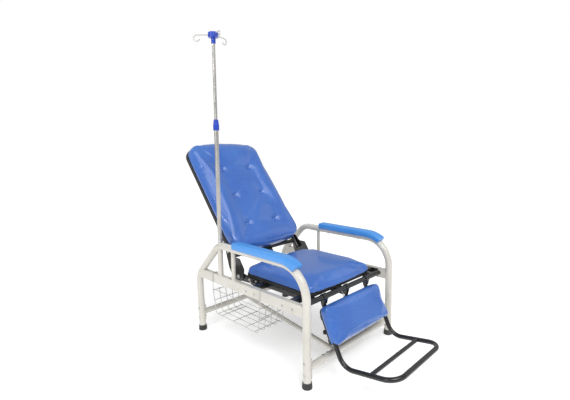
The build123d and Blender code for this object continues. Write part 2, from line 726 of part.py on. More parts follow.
plate_outline = [
    (-28, -20),
    (-28, 25),
    (8, 62),
    (72, 66),
    (100, 30),
    (170, board_w - SOFT_GAP),
    (238, board_w - SOFT_GAP),
    (238, back_low_w - 2),
    (165, -14),
    (80, -46),
    (30, -50),
]
PLATE_BOLT_U = (150.0, 212.0)
plate_bolts = []
for side, label in ((NEAR, "near"), (FAR, "far")):
    low, high = span(side, MOVING_PLATE_INNER, MOVING_PLATE_INNER + MOVING_PLATE_T)
    plate = side_plate(plate_outline, low, high, corner=9.0, plane=back_plane)
    plate -= rod((low - 2, BACK_PIVOT_Y, PIVOT_Z), (high + 2, BACK_PIVOT_Y, PIVOT_Z), PIVOT_R + RUNNING)
    for u in PLATE_BOLT_U:
        at = back_point(0, u, frame_w)
        hole = rod((side * 200, at.Y, at.Z), (side * 300, at.Y, at.Z), M8_R + BOLT_PLAY)
        plate -= hole
        back_frame -= hole
        plate_bolts.append(
            bolt(
                side * (MOVING_PLATE_INNER + MOVING_PLATE_T),
                side,
                at.Y,
                at.Z,
                M8_R,
                MOVING_PLATE_T + 2 * BACK_TUBE_R,
                7.0,
                4.5,
                6.5,
            )
        )
    keep(f"back_hinge_plate_{label}", plate)
    head_x = side * (MOVING_PLATE_INNER + MOVING_PLATE_T + 0.5)
    pivot_bolts.append(
        bolt(
            head_x,
            side,
            BACK_PIVOT_Y,
            PIVOT_Z,
            PIVOT_R,
            BRACKET_T + SIDE_PLAY + MOVING_PLATE_T + 0.5,
            11.0,
            6.0,
            8.0,
        )
    )
keep("back_frame", back_frame)
keep("back_plate_bolts", *plate_bolts)
keep("back_pivot_bolts", *pivot_bolts)


def back_slab(half_width, bottom_u, top_u, bow, corner, low_w, high_w):
    """A long slab in the back's plane, its short edges bowed outwards by bow."""
    low_arc = ThreePointArc((bottom_u + bow, -half_width), (bottom_u, 0), (bottom_u + bow, half_width))
    high_arc = ThreePointArc((top_u - bow, half_width), (top_u, 0), (top_u - bow, -half_width))
    outline = make_face(
        [
            low_arc.edge(),
            Edge.make_line((bottom_u + bow, half_width), (top_u - bow, half_width)),
            high_arc.edge(),
            Edge.make_line((top_u - bow, -half_width), (bottom_u + bow, -half_width)),
        ]
    )
    outline = fillet(outline.vertices(), corner)
    flat = Plane(
        origin=back_point(0, 0, low_w),
        x_dir=back_plane.x_dir,
        z_dir=back_plane.y_dir,
    )
    return flat * extrude(outline, high_w - low_w)


BACK_BOW = 28.0
back_board = back_slab(
    BACK_HALF_WIDTH - 6, BACK_BOTTOM_U + 8, BACK_TOP_U - 7, BACK_BOW, BACK_CORNER_R - 6, board_w, cushion_w
)
back_cushion = back_slab(
    BACK_HALF_WIDTH, BACK_BOTTOM_U, BACK_TOP_U, BACK_BOW, BACK_CORNER_R, cushion_w, cushion_w + BACK_CUSHION_T
)
front_direction = Axis(origin=(0, 0, 0), direction=back_plane.y_dir)
back_cushion = fillet(back_cushion.faces().sort_by(front_direction)[-1].edges(), 20.0)

BUTTON_X = 105.0
BUTTON_U = (262.0, 458.0, 656.0)
BUTTON_R = 9.0
BUTTON_T = 4.0
BUTTON_SINK = 9.0
buttons = []
cushion_front_w = cushion_w + BACK_CUSHION_T
for side in (NEAR, FAR):
    for u in BUTTON_U:
        x = side * BUTTON_X
        seat_w = cushion_front_w - BUTTON_SINK
        back_cushion -= back_rod((x, u, seat_w), (x, u, cushion_front_w + 5), BUTTON_R + SOFT_GAP)
        buttons.append(back_rod((x, u, seat_w), (x, u, seat_w + BUTTON_T), BUTTON_R))
keep("back_buttons", *buttons)
keep("back_cushion", back_cushion)
back_screws = []
for side in (NEAR, FAR):
    for u in (200.0, 420.0, 640.0):
        x = side * back_tube_x
        hole = back_rod((x, u, back_low_w - 5), (x, u, cushion_w - 2), SCREW_R + BOLT_PLAY)
        back_board -= hole
        back_frame -= hole
        head = back_rod((x, u, back_low_w - 2.5), (x, u, back_low_w), 5.0)
        back_screws.append(head + back_rod((x, u, back_low_w - 2.5), (x, u, cushion_w - 3), SCREW_R))
keep("back_board", back_board)
keep("back_screws", *back_screws)
keep("back_frame", back_frame)

# ---------------------------------------------------------------- leg rest
# Its own plane: u runs down along the pad from the hinge, w points out of its front.
leg_plane = Plane(
    origin=(0, LEG_HINGE_Y, PIVOT_Z),
    x_dir=(0, -sin(radians(LEG_ANGLE)), -cos(radians(LEG_ANGLE))),
    z_dir=(-1, 0, 0),
)


def leg_point_at(x, u, w):
    return leg_plane.from_local_coords((u, w, -x))


def leg_rod(start, end, radius):
    return rod(leg_point_at(*start), leg_point_at(*end), radius)


def leg_box(x_range, u_range, w_range):
    size = (u_range[1] - u_range[0], w_range[1] - w_range[0], x_range[1] - x_range[0])
    centre = (sum(u_range) / 2, sum(w_range) / 2, -sum(x_range) / 2)
    return leg_plane * Pos(*centre) * Box(*size)


pad_rear_w = LEG_PAD_FRONT_W - LEG_PAD_T
leg_board_rear_w = pad_rear_w - LEG_BOARD_T
ARM_T = 8.0
ARM_X = 172.0
ARM_HALF = 12.5
arm_rear_w = leg_board_rear_w - ARM_T
pad_bottom_u = LEG_PAD_TOP_U + LEG_PAD_LENGTH
SLEEVE_R = 15.5
arm_outline = [
    (-2, -SLEEVE_R + 0.4),
    (10, 11.0),
    (LEG_PAD_TOP_U - 2, pad_rear_w - 1.5),
    (LEG_PAD_TOP_U - 2, leg_board_rear_w),
    (pad_bottom_u - 11, leg_board_rear_w),
    (pad_bottom_u - 11, arm_rear_w),
    (26, arm_rear_w),
]
leg_frame = None
for x in (-ARM_X, ARM_X):
    arm = leg_plane * prism(arm_outline, -x - ARM_HALF, -x + ARM_HALF)
    arm += rod((x - 15, LEG_HINGE_Y, PIVOT_Z), (x + 15, LEG_HINGE_Y, PIVOT_Z), SLEEVE_R)
    leg_frame = arm if leg_frame is None else leg_frame + arm
for u_range in ((72.0, 94.0), (184.0, 204.0)):
    leg_frame += leg_box((-FOOT_HALF_WIDTH - 8, FOOT_HALF_WIDTH + 8), u_range, (arm_rear_w, leg_board_rear_w))

# Centre knuckle: a sleeve with two lugs for the link, tied down to the upper crossbar.
KNUCKLE_HALF = EYE_HALF + SIDE_PLAY + CRANK_PLATE_T
knuckle = rod((-KNUCKLE_HALF, LEG_HINGE_Y, PIVOT_Z), (KNUCKLE_HALF, LEG_HINGE_Y, PIVOT_Z), SLEEVE_R)
knuckle -= block((-EYE_HALF - SIDE_PLAY, EYE_HALF + SIDE_PLAY), (0, 100), (PIVOT_Z - 60, PIVOT_Z - 14.2))
leg_pin_local = leg_plane.to_local_coords(Vector(0, *leg_pin))
for x_low in (-KNUCKLE_HALF, KNUCKLE_HALF - CRANK_PLATE_T):
    z_low = -x_low - CRANK_PLATE_T
    lug_outline = [
        (-4, -14.5),
        (6, 14),
        (leg_pin_local.X + 5, leg_pin_local.Y + 8.4),
        (72, leg_board_rear_w),
        (72, arm_rear_w),
        (leg_pin_local.X - 3, leg_pin_local.Y - 10.5),
    ]
    lug = leg_plane * prism(lug_outline, z_low, z_low + CRANK_PLATE_T)
    lug += leg_plane * Pos(leg_pin_local.X, leg_pin_local.Y, z_low) * Cylinder(
        10.5, CRANK_PLATE_T, align=(Align.CENTER, Align.CENTER, Align.MIN)
    )
    knuckle += lug
knuckle -= rod((-100, *leg_pin), (100, *leg_pin), CRANK_PIN_R)
leg_frame += knuckle
keep("leg_link_pin", headed_pin(-KNUCKLE_HALF, KNUCKLE_HALF, *leg_pin, CRANK_PIN_R))

# Guide sleeves for the foot rail lie inside the pad and stand on feet through the board.
FOOT_ARM_W = 8.0
GUIDE_R = FOOT_TUBE_R + 1.5
GUIDE_BORE = FOOT_TUBE_R + RUNNING
GUIDE_U = (80.0, 212.0)
GUIDE_FEET = ((74.0, 92.0), (186.0, 202.0))
CLAMP_U = 150.0
CLAMP_R = 3.0
guide_feet_cut = []
for x in (-FOOT_HALF_WIDTH, FOOT_HALF_WIDTH):
    guide = leg_rod((x, GUIDE_U[0], FOOT_ARM_W), (x, GUIDE_U[1], FOOT_ARM_W), GUIDE_R)
    for u_range in GUIDE_FEET:
        foot_range = (max(u_range[0], GUIDE_U[0]), u_range[1])
        guide += leg_box((x - 7, x + 7), foot_range, (leg_board_rear_w - 0.5, FOOT_ARM_W - GUIDE_R + 3))
        guide_feet_cut.append(leg_box((x - 7.5, x + 7.5), (u_range[0] - 0.5, u_range[1] + 0.5), (-40, 0)))
    guide -= leg_rod((x, GUIDE_U[0] - 1, FOOT_ARM_W), (x, GUIDE_U[1] + 1, FOOT_ARM_W), GUIDE_BORE)
    leg_frame += guide
for x in (-FOOT_HALF_WIDTH, FOOT_HALF_WIDTH):
    leg_frame -= leg_rod((x, CLAMP_U, -60), (x, CLAMP_U, FOOT_ARM_W), CLAMP_R + 0.05)
leg_frame -= rod((-400, LEG_HINGE_Y, PIVOT_Z), (400, LEG_HINGE_Y, PIVOT_Z), HINGE_TUBE_R + RUNNING)
keep("leg_frame", leg_frame)

clamp_screws = []
CLAMP_GAP = 0.15
for x in (-FOOT_HALF_WIDTH, FOOT_HALF_WIDTH):
    tip_w = FOOT_ARM_W - FOOT_TUBE_R - CLAMP_GAP
    screw = leg_rod((x, CLAMP_U, arm_rear_w - 4), (x, CLAMP_U, tip_w), CLAMP_R)
    knob = leg_rod((x, CLAMP_U, arm_rear_w - 14), (x, CLAMP_U, arm_rear_w - 2), 11.0)
    for step in range(6):
        turn = radians(60 * step)
        knob -= leg_rod(
            (x + 13 * cos(turn), CLAMP_U + 13 * sin(turn), arm_rear_w - 20),
            (x + 13 * cos(turn), CLAMP_U + 13 * sin(turn), arm_rear_w + 2),
            4.5,
        )
    clamp_screws.append(knob + screw)
keep("foot_rail_clamp_screws", *clamp_screws)


def leg_slab(half_width, u_range, w_range, corner):
    flat = Plane(origin=leg_point_at(0, 0, w_range[0]), x_dir=leg_plane.x_dir, z_dir=leg_plane.y_dir)
    outline = Pos(sum(u_range) / 2, 0) * RectangleRounded(u_range[1] - u_range[0], 2 * half_width, corner)
    return flat * extrude(outline, w_range[1] - w_range[0])


leg_board = leg_slab(
    LEG_PAD_HALF_WIDTH - 7, (LEG_PAD_TOP_U + 9, pad_bottom_u - 8), (leg_board_rear_w, pad_rear_w), 22.0
)
leg_pad = leg_slab(LEG_PAD_HALF_WIDTH, (LEG_PAD_TOP_U, pad_bottom_u), (pad_rear_w, LEG_PAD_FRONT_W), 28.0)
leg_front = Axis(origin=(0, 0, 0), direction=leg_plane.y_dir)
leg_pad = fillet(leg_pad.faces().sort_by(leg_front)[-1].edges(), 12.0)
for cut in guide_feet_cut:
    leg_board -= cut
    leg_pad -= cut
for x in (-FOOT_HALF_WIDTH, FOOT_HALF_WIDTH):
    leg_pad -= leg_rod((x, GUIDE_U[0] - 3, FOOT_ARM_W), (x, pad_bottom_u + 5, FOOT_ARM_W), GUIDE_R + SOFT_GAP)
    leg_board -= leg_rod((x, GUIDE_U[0] - 3, FOOT_ARM_W), (x, pad_bottom_u + 5, FOOT_ARM_W), GUIDE_R + SOFT_GAP)
    leg_pad -= leg_rod((x, CLAMP_U, -60), (x, CLAMP_U, FOOT_ARM_W), CLAMP_R + BOLT_PLAY)
    leg_board -= leg_rod((x, CLAMP_U, -60), (x, CLAMP_U, FOOT_ARM_W), CLAMP_R + BOLT_PLAY)
leg_screws = []
for x in (-ARM_X, ARM_X):
    for u in (110.0, 160.0):
        hole = leg_rod((x, u, -60), (x, u, pad_rear_w - 1), SCREW_R + BOLT_PLAY)
        leg_board -= hole
        leg_frame -= hole
        head = leg_rod((x, u, arm_rear_w - 2.5), (x, u, arm_rear_w), 5.0)
        leg_screws.append(head + leg_rod((x, u, arm_rear_w - 2.5), (x, u, pad_rear_w - 2), SCREW_R))
keep("leg_board", leg_board)
keep("leg_pad", leg_pad)
keep("leg_screws", *leg_screws)
keep("leg_frame", leg_frame)

# ---------------------------------------------------------------- link and gas spring rod
link = rod((0, leg_pin[0] + 6, leg_pin[1]), (0, back_pin[0] - 6, back_pin[1]), 5.0)
for pin in (leg_pin, back_pin):
    link += rod((-EYE_HALF, *pin), (EYE_HALF, *pin), EYE_R)
for pin in (leg_pin, back_pin):
    link -= rod((-EYE_HALF - 1, *pin), (EYE_HALF + 1, *pin), CRANK_PIN_R + RUNNING)
keep("leg_link_rod", link)
PISTON_R = GAS_CYLINDER_R - GAS_WALL - GAS_ROD_DRIFT - 1.0
PISTON_Y = GAS_HIGH_Y - 90.0
gas_rod = rod((GAS_X, PISTON_Y, back_pin[1]), (GAS_X, back_pin[0] - 6, back_pin[1]), GAS_ROD_R)
gas_rod += rod((GAS_X, PISTON_Y - 12, back_pin[1]), (GAS_X, PISTON_Y, back_pin[1]), PISTON_R)
gas_rod += rod((GAS_X - EYE_HALF, *back_pin), (GAS_X + EYE_HALF, *back_pin), EYE_R)
gas_rod -= rod((GAS_X - 6, *back_pin), (GAS_X + 6, *back_pin), CRANK_PIN_R + RUNNING)
keep("gas_spring_rod", gas_rod)

# ---------------------------------------------------------------- foot rail
ARM_END_U = 125.0
FOOT_BEND_R = 70.0
FOOT_CORNER_R = 66.0
foot_arm_top = leg_point_at(FOOT_HALF_WIDTH, ARM_END_U, FOOT_ARM_W)
arm_direction = leg_plane.x_dir
# the arms' line, carried down to the level of the low bend
drop = (FOOT_LOW_Z - foot_arm_top.Z) / arm_direction.Z
low_y = foot_arm_top.Y + arm_direction.Y * drop
foot_path = FilletPolyline(
    (-FOOT_HALF_WIDTH, foot_arm_top.Y, foot_arm_top.Z),
    (-FOOT_HALF_WIDTH, low_y, FOOT_LOW_Z),
    (-FOOT_HALF_WIDTH, FOOT_FRONT_Y, FOOT_FRONT_Z),
    (FOOT_HALF_WIDTH, FOOT_FRONT_Y, FOOT_FRONT_Z),
    (FOOT_HALF_WIDTH, low_y, FOOT_LOW_Z),
    (FOOT_HALF_WIDTH, foot_arm_top.Y, foot_arm_top.Z),
    radius=[FOOT_BEND_R, FOOT_CORNER_R, FOOT_CORNER_R, FOOT_BEND_R],
)
foot_outer = swept_rod(foot_path, FOOT_TUBE_R)
foot_hollow = swept_rod(foot_path, FOOT_TUBE_R - TUBE_WALL)
CROSSBAR_Y = -240.0
crossbar_z = FOOT_LOW_Z + (FOOT_FRONT_Z - FOOT_LOW_Z) * (low_y - CROSSBAR_Y) / (low_y - FOOT_FRONT_Y)
crossbar_ends = ((-FOOT_HALF_WIDTH, CROSSBAR_Y, crossbar_z), (FOOT_HALF_WIDTH, CROSSBAR_Y, crossbar_z))
foot_outer += rod(*crossbar_ends, FOOT_TUBE_R - 1.5)
foot_hollow += rod(*crossbar_ends, FOOT_TUBE_R - 1.5 - TUBE_WALL)
keep("foot_rail", foot_outer - foot_hollow)

# ---------------------------------------------------------------- drip pole
UPPER_LOW_Z = 760.0
UPPER_TOP_Z = HUB_Z + 18.0
POLE_WALL = 1.5
keep("pole_lower_tube", ring((near_x, POLE_Y, rail_top), (near_x, POLE_Y, POLE_TOP_Z), POLE_R, POLE_R - POLE_WALL))
keep("pole_upper_tube", ring((near_x, POLE_Y, UPPER_LOW_Z), (near_x, POLE_Y, UPPER_TOP_Z), UPPER_POLE_R, 6.5))
keep(
    "pole_slider_bush",
    ring(
        (near_x, POLE_Y, UPPER_LOW_Z),
        (near_x, POLE_Y, UPPER_LOW_Z + 30),
        POLE_R - POLE_WALL - RUNNING,
        UPPER_POLE_R,
    ),
)
COLLAR_LOW_Z = 1139.0
COLLAR_TOP_Z = 1195.0
COLLET_R = POLE_R - 1.4
COLLAR_LOW_R = POLE_R + 4.5
COLLAR_TOP_R = COLLET_R + 1.9
collet_low = POLE_TOP_Z
collet_high = COLLAR_TOP_Z - 6.0
collar_profile = make_face(
    Polyline(
        (POLE_R + RUNNING, COLLAR_LOW_Z),
        (COLLAR_LOW_R, COLLAR_LOW_Z),
        (COLLAR_LOW_R, COLLAR_LOW_Z + 26),
        (COLLAR_TOP_R, COLLAR_TOP_Z - 3),
        (COLLAR_TOP_R - 2, COLLAR_TOP_Z),
        (UPPER_POLE_R + RUNNING, COLLAR_TOP_Z),
        (UPPER_POLE_R + RUNNING, collet_high + SOFT_GAP),
        (COLLET_R + RUNNING, collet_high + SOFT_GAP),
        (COLLET_R + RUNNING, POLE_TOP_Z + SOFT_GAP),
        (POLE_R + RUNNING, POLE_TOP_Z + SOFT_GAP),
        close=True,
    ).edges()
)
collar = revolve(Plane.XZ * collar_profile, Axis.Z)
for step in range(10):
    turn = radians(36 * step)
    reach = COLLAR_LOW_R + 1.3
    collar -= rod(
        (reach * cos(turn), reach * sin(turn), COLLAR_LOW_Z - 1),
        (reach * cos(turn), reach * sin(turn), COLLAR_LOW_Z + 27),
        2.4,
    )
keep("pole_lock_collar", Pos(near_x, POLE_Y, 0) * collar)
keep(
    "pole_collet",
    ring((near_x, POLE_Y, collet_low), (near_x, POLE_Y, collet_high), COLLET_R, UPPER_POLE_R + RUNNING),
)

HUB_NECK_R = 11.5
HUB_FLANGE_R = 27.0
HUB_FLANGE_Z = (HUB_Z + 27.0, HUB_Z + 56.0)
hook_z = HUB_Z + 42.0
neck = Cylinder(HUB_NECK_R, HUB_FLANGE_Z[0] - HUB_Z + 2, align=(Align.CENTER, Align.CENTER, Align.MIN))
flange = Pos(0, 0, HUB_FLANGE_Z[0] - HUB_Z) * Cylinder(
    HUB_FLANGE_R, HUB_FLANGE_Z[1] - HUB_FLANGE_Z[0], align=(Align.CENTER, Align.CENTER, Align.MIN)
)
flange = fillet(flange.edges().filter_by(GeomType.CIRCLE), 8.0)
hub = neck + flange
hub -= Cylinder(
    UPPER_POLE_R + RUNNING, UPPER_TOP_Z - HUB_Z + SOFT_GAP, align=(Align.CENTER, Align.CENTER, Align.MIN)
)
hub = Pos(near_x, POLE_Y, HUB_Z) * hub
HOOK_ROOT = 14.0
HOOK_SWEEP = 250.0
hooks = []
for bearing in HOOK_BEARINGS:
    out = Vector(cos(radians(bearing)), sin(radians(bearing)), 0)
    axis_point = Vector(near_x, POLE_Y, hook_z)
    hook_plane = Plane(origin=axis_point, x_dir=out, z_dir=out.cross(Vector(0, 0, 1)))
    # in this plane x runs outwards and y runs up
    arm = Line((HOOK_ROOT, 0), (HOOK_REACH, 0))
    curl = CenterArc((HOOK_REACH, -HOOK_R), HOOK_R, 90, -HOOK_SWEEP)
    hook_path = hook_plane * Wire([arm.edge(), curl.edge()])
    hooks.append(sweep(Plane(origin=hook_path @ 0, z_dir=out) * Circle(HOOK_WIRE_R), path=hook_path))
    hub -= rod(axis_point + out * HOOK_ROOT, axis_point + out * (HUB_FLANGE_R + 5), HOOK_WIRE_R)
keep("hook_hub", hub)
keep("iv_hooks", *hooks)

# ---------------------------------------------------------------- wire basket
# Bent wires welded where they cross.  Two of its wires hook over the near side rail.
RAIL_GAP = 0.2
outer_wire_x = -(FRAME_HALF_WIDTH + RAIL_WIDTH / 2 + WIRE_R + RAIL_GAP)
inner_wire_x = outer_wire_x + BASKET_DEPTH
RIM_FRONT_Y = BASKET_FRONT_Y - 16.0
RIM_REAR_Y = BASKET_REAR_Y + 24.0
WIRE_BEND_R = 14.0
WELD = 0.05                       # how deep crossing wires sink into each other
hook_top_z = rail_top + WIRE_R + RAIL_GAP
hook_inner_x = -(FRAME_HALF_WIDTH - RAIL_WIDTH / 2) + WIRE_R + RAIL_GAP
hook_low_z = rail_top - 34.0


def wire(points, bend=WIRE_BEND_R):
    if len(points) == 2:
        return rod(*points, WIRE_R)
    return swept_rod(FilletPolyline(*points, radius=[bend] * (len(points) - 2)), WIRE_R)


def hoop(x, hooked):
    """A long wire: down the front, along the floor and up the rear."""
    points = [
        (x, RIM_FRONT_Y, BASKET_RIM_Z),
        (x, BASKET_FRONT_Y, BASKET_FLOOR_Z),
        (x, BASKET_REAR_Y, BASKET_FLOOR_Z),
        (x, RIM_REAR_Y, BASKET_RIM_Z),
    ]
    if not hooked:
        return wire(points)
    front = [(hook_inner_x, RIM_FRONT_Y, hook_low_z), (hook_inner_x, RIM_FRONT_Y, hook_top_z)]
    front.append((x, RIM_FRONT_Y, hook_top_z))
    rear = [(hook_inner_x, RIM_REAR_Y, hook_low_z), (hook_inner_x, RIM_REAR_Y, hook_top_z)]
    rear.append((x, RIM_REAR_Y, hook_top_z))
    hook_bends = [WIRE_R + 2 * RAIL_GAP, WIRE_R + 2 * RAIL_GAP]
    bends = hook_bends + [WIRE_BEND_R] * 4 + hook_bends[::-1]
    path = FilletPolyline(*(front + points + rear[::-1]), radius=bends)
    return swept_rod(path, WIRE_R)


hoop_step = BASKET_DEPTH / 4
hoops = [hoop(outer_wire_x, True)] + [hoop(outer_wire_x + index * hoop_step, False) for index in range(1, 5)]
keep("basket_hoops", *hoops)
crossing = 2 * WIRE_R - WELD
end_overrun = WIRE_R                  # cross wires run to the outside of the end hoops
cross_ends = (outer_wire_x, inner_wire_x + end_overrun)


def cross_wire(y, z):
    return rod((cross_ends[0], y, z), (cross_ends[1], y, z), WIRE_R)


cross_wires = []
for y in (BASKET_FRONT_Y + 22, 400.0, 500.0, 600.0, BASKET_REAR_Y - 22):
    cross_wires.append(cross_wire(y, BASKET_FLOOR_Z + crossing))
flare = (RIM_REAR_Y - BASKET_REAR_Y) / (BASKET_RIM_Z - BASKET_FLOOR_Z)
front_flare = (BASKET_FRONT_Y - RIM_FRONT_Y) / (BASKET_RIM_Z - BASKET_FLOOR_Z)
rim_z = BASKET_RIM_Z - WIRE_R - 1.0
mid_z = (BASKET_FLOOR_Z + BASKET_RIM_Z) / 2 + 8
for z in (rim_z, mid_z):
    # the cross wires lie against the inside of the leaning walls
    front_y = BASKET_FRONT_Y - front_flare * (z - BASKET_FLOOR_Z) + crossing * sqrt(1 + front_flare**2)
    rear_y = BASKET_REAR_Y + flare * (z - BASKET_FLOOR_Z) - crossing * sqrt(1 + flare**2)
    cross_wires.append(cross_wire(front_y, z))
    cross_wires.append(cross_wire(rear_y, z))
# the long rim wires lie on the outside of the end hoops' cross wires
rim_y = [
    BASKET_FRONT_Y - front_flare * (rim_z - BASKET_FLOOR_Z) + crossing,
    BASKET_REAR_Y + flare * (rim_z - BASKET_FLOOR_Z) - crossing,
]
for x in (outer_wire_x + WIRE_R + 0.5, inner_wire_x):
    cross_wires.append(rod((x, rim_y[0] - 1, rim_z + crossing), (x, rim_y[1] + 1, rim_z + crossing), WIRE_R))
keep("basket_cross_wires", *cross_wires)

# ---------------------------------------------------------------- origin and files
boxes = [shape.bounding_box() for shape in parts.values()]
low_corner = [min(getattr(box.min, axis) for box in boxes) for axis in "XYZ"]
high_corner = [max(getattr(box.max, axis) for box in boxes) for axis in "XYZ"]
origin_shift = Vector(
    -(low_corner[0] + high_corner[0]) / 2,
    -(low_corner[1] + high_corner[1]) / 2,
    -low_corner[2],
)


os.makedirs("parts", exist_ok=True)
for name, shape in parts.items():
    export_step(Pos(*origin_shift) * shape, f"parts/{name}.step")
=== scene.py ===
import math
from math import cos, pi, radians, sin, sqrt

import bmesh
import bpy
from mathutils import Matrix, Vector


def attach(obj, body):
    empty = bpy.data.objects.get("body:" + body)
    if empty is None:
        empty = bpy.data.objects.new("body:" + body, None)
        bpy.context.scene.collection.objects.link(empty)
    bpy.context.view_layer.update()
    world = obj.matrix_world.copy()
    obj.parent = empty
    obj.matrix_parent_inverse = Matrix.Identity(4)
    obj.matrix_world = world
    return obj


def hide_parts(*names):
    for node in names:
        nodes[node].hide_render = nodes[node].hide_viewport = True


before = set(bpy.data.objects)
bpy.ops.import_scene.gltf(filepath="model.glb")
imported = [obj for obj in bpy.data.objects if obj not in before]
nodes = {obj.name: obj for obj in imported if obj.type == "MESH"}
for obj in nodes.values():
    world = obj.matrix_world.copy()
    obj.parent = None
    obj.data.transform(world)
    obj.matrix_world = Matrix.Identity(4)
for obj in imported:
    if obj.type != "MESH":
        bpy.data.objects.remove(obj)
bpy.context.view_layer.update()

# ------------------------------------------------------------------ camera
# A low three-quarter view from the chair's right front corner, seen through a wide lens.
scene = bpy.context.scene
VIEW_TURN = radians(-46.403)
VIEW_TILT = radians(6.349)
VIEW_ROLL = radians(0.557)
CAMERA_PLACE = (-1.49895, -1.46057, 1.060)
SENSOR_WIDTH = 36.0
LENS = 24.635
SHIFT_RIGHT = -0.0248
SHIFT_UP = -0.0203
behind = Vector((sin(VIEW_TURN) * cos(VIEW_TILT), -cos(VIEW_TURN) * cos(VIEW_TILT), sin(VIEW_TILT)))
level_right = (-behind).cross(Vector((0, 0, 1))).normalized()
level_down = (-behind).cross(level_right)
view_right = level_right * cos(VIEW_ROLL) + level_down * sin(VIEW_ROLL)
view_down = level_down * cos(VIEW_ROLL) - level_right * sin(VIEW_ROLL)
camera_data = bpy.data.cameras.new("camera")
camera_data.sensor_width = SENSOR_WIDTH
camera_data.lens = LENS
camera_data.shift_x = SHIFT_RIGHT
camera_data.shift_y = SHIFT_UP
camera = bpy.data.objects.new("camera", camera_data)
scene.collection.objects.link(camera)
turn = Matrix((view_right, -view_down, behind)).transposed()
camera.matrix_world = Matrix.Translation(CAMERA_PLACE) @ turn.to_4x4()
scene.camera = camera


# ------------------------------------------------------------------ floor, backdrop and light
# A white sweep under large soft lamps, as in a product studio.
def select_only(obj):
    """Leave nothing but this object selected, and make it the active one."""
    bpy.ops.object.select_all(action="DESELECT")
    obj.select_set(True)
    bpy.context.view_layer.objects.active = obj


def lamp(name, place, aim, size, power, colour=(1.0, 1.0, 1.0)):
    data = bpy.data.lights.new(name, "AREA")
    data.shape = "RECTANGLE"
    data.size, data.size_y = size
    data.energy = power
    data.color = colour
    obj = bpy.data.objects.new(name, data)
    scene.collection.objects.link(obj)
    direction = Vector(aim) - Vector(place)
    obj.matrix_world = Matrix.Translation(place) @ direction.to_track_quat("-Z", "Y").to_matrix().to_4x4()
    return obj


FLOOR_RADIUS = 14.0
FLOOR_DROP = 0.0006
FLOOR_GLOW = 0.30
SKY_LIGHT = 0.50
BACKDROP_LIGHT = 1.0
SUN_LIGHT = 1.3
SUN_SPREAD = radians(50)
SUN_AIM = Vector((0.25, 0.55, -1.0))
bpy.ops.object.select_all(action="DESELECT")
bpy.ops.mesh.primitive_circle_add(
    vertices=96, radius=FLOOR_RADIUS, fill_type="NGON", location=(0, 0, -FLOOR_DROP)
)
floor = bpy.context.object
floor.name = "studio_floor"
bpy.ops.object.transform_apply(location=True)
floor_material = bpy.data.materials.new("white floor")
floor_material.use_nodes = True
floor_shader = floor_material.node_tree.nodes["Principled BSDF"]
floor_shader.inputs["Base Color"].default_value = (0.93, 0.93, 0.93, 1)
floor_shader.inputs["Roughness"].default_value = 0.7
floor_shader.inputs["Emission Color"].default_value = (1, 1, 1, 1)
floor_shader.inputs["Emission Strength"].default_value = FLOOR_GLOW
floor.data.materials.append(floor_material)

world = bpy.data.worlds.new("soft white")
scene.world = world
world.use_nodes = True
backdrop = world.node_tree.nodes["Background"]
backdrop.inputs["Color"].default_value = (1.0, 1.0, 1.0, 1)
# the backdrop stays white, and lights the chair more softly than it looks
seen = world.node_tree.nodes.new("ShaderNodeLightPath")
strength = world.node_tree.nodes.new("ShaderNodeMapRange")
strength.inputs["To Min"].default_value = SKY_LIGHT
strength.inputs["To Max"].default_value = BACKDROP_LIGHT
world.node_tree.links.new(seen.outputs["Is Camera Ray"], strength.inputs["Value"])
world.node_tree.links.new(strength.outputs["Result"], backdrop.inputs["Strength"])
scene.view_settings.view_transform = "Standard"
scene.view_settings.look = "None"
sun_data = bpy.data.lights.new("skylight", "SUN")
sun_data.energy = SUN_LIGHT
sun_data.angle = SUN_SPREAD
sun = bpy.data.objects.new("skylight", sun_data)
scene.collection.objects.link(sun)
sun.matrix_world = SUN_AIM.to_track_quat("-Z", "Y").to_matrix().to_4x4()
lamp("key", (-1.5, -2.6, 3.2), (0, 0, 0.5), (1.0, 1.0), 30)
lamp("window", (-3.4, -0.2, 2.2), (0, 0.1, 0.6), (0.45, 2.2), 26)
lamp("fill", (3.2, -1.6, 2.4), (0, 0, 0.5), (2.2, 2.2), 8)
lamp("rim", (0.4, 3.4, 3.0), (0, 0.2, 0.7), (2.4, 1.4), 16)


# ------------------------------------------------------------------ painted tube frame
# Bent round tube welded to flat-sided rails, coated all over in warm off-white gloss paint.
# The coat has a fine orange peel, is a little yellowed in places and is scuffed near the floor.
def group_tree(name, inputs, outputs):
    """A shader node group with named sockets, and its input and output nodes."""
    tree = bpy.data.node_groups.new(name, "ShaderNodeTree")
    for label, kind, value in inputs:
        socket = tree.interface.new_socket(name=label, in_out="INPUT", socket_type=kind)
        if value is not None:
            socket.default_value = value
    for label, kind in outputs:
        tree.interface.new_socket(name=label, in_out="OUTPUT", socket_type=kind)
    return tree, tree.nodes.new("NodeGroupInput"), tree.nodes.new("NodeGroupOutput")


def noise(tree, vector, scale, detail=3.0, roughness=0.55):
    node = tree.nodes.new("ShaderNodeTexNoise")
    node.inputs["Scale"].default_value = scale
    node.inputs["Detail"].default_value = detail
    node.inputs["Roughness"].default_value = roughness
    tree.links.new(vector, node.inputs["Vector"])
    return node


def ramp(tree, value, low, high):
    """Stretch a value between two limits to 0..1."""
    node = tree.nodes.new("ShaderNodeMapRange")
    node.inputs["From Min"].default_value = low
    node.inputs["From Max"].default_value = high
    tree.links.new(value, node.inputs["Value"])
    return node.outputs["Result"]


def math_node(tree, operation, first, second):
    node = tree.nodes.new("ShaderNodeMath")
    node.operation = operation
    for socket, value in zip(node.inputs, (first, second)):
        if isinstance(value, (int, float)):
            socket.default_value = value
        else:
            tree.links.new(value, socket)
    return node.outputs["Value"]


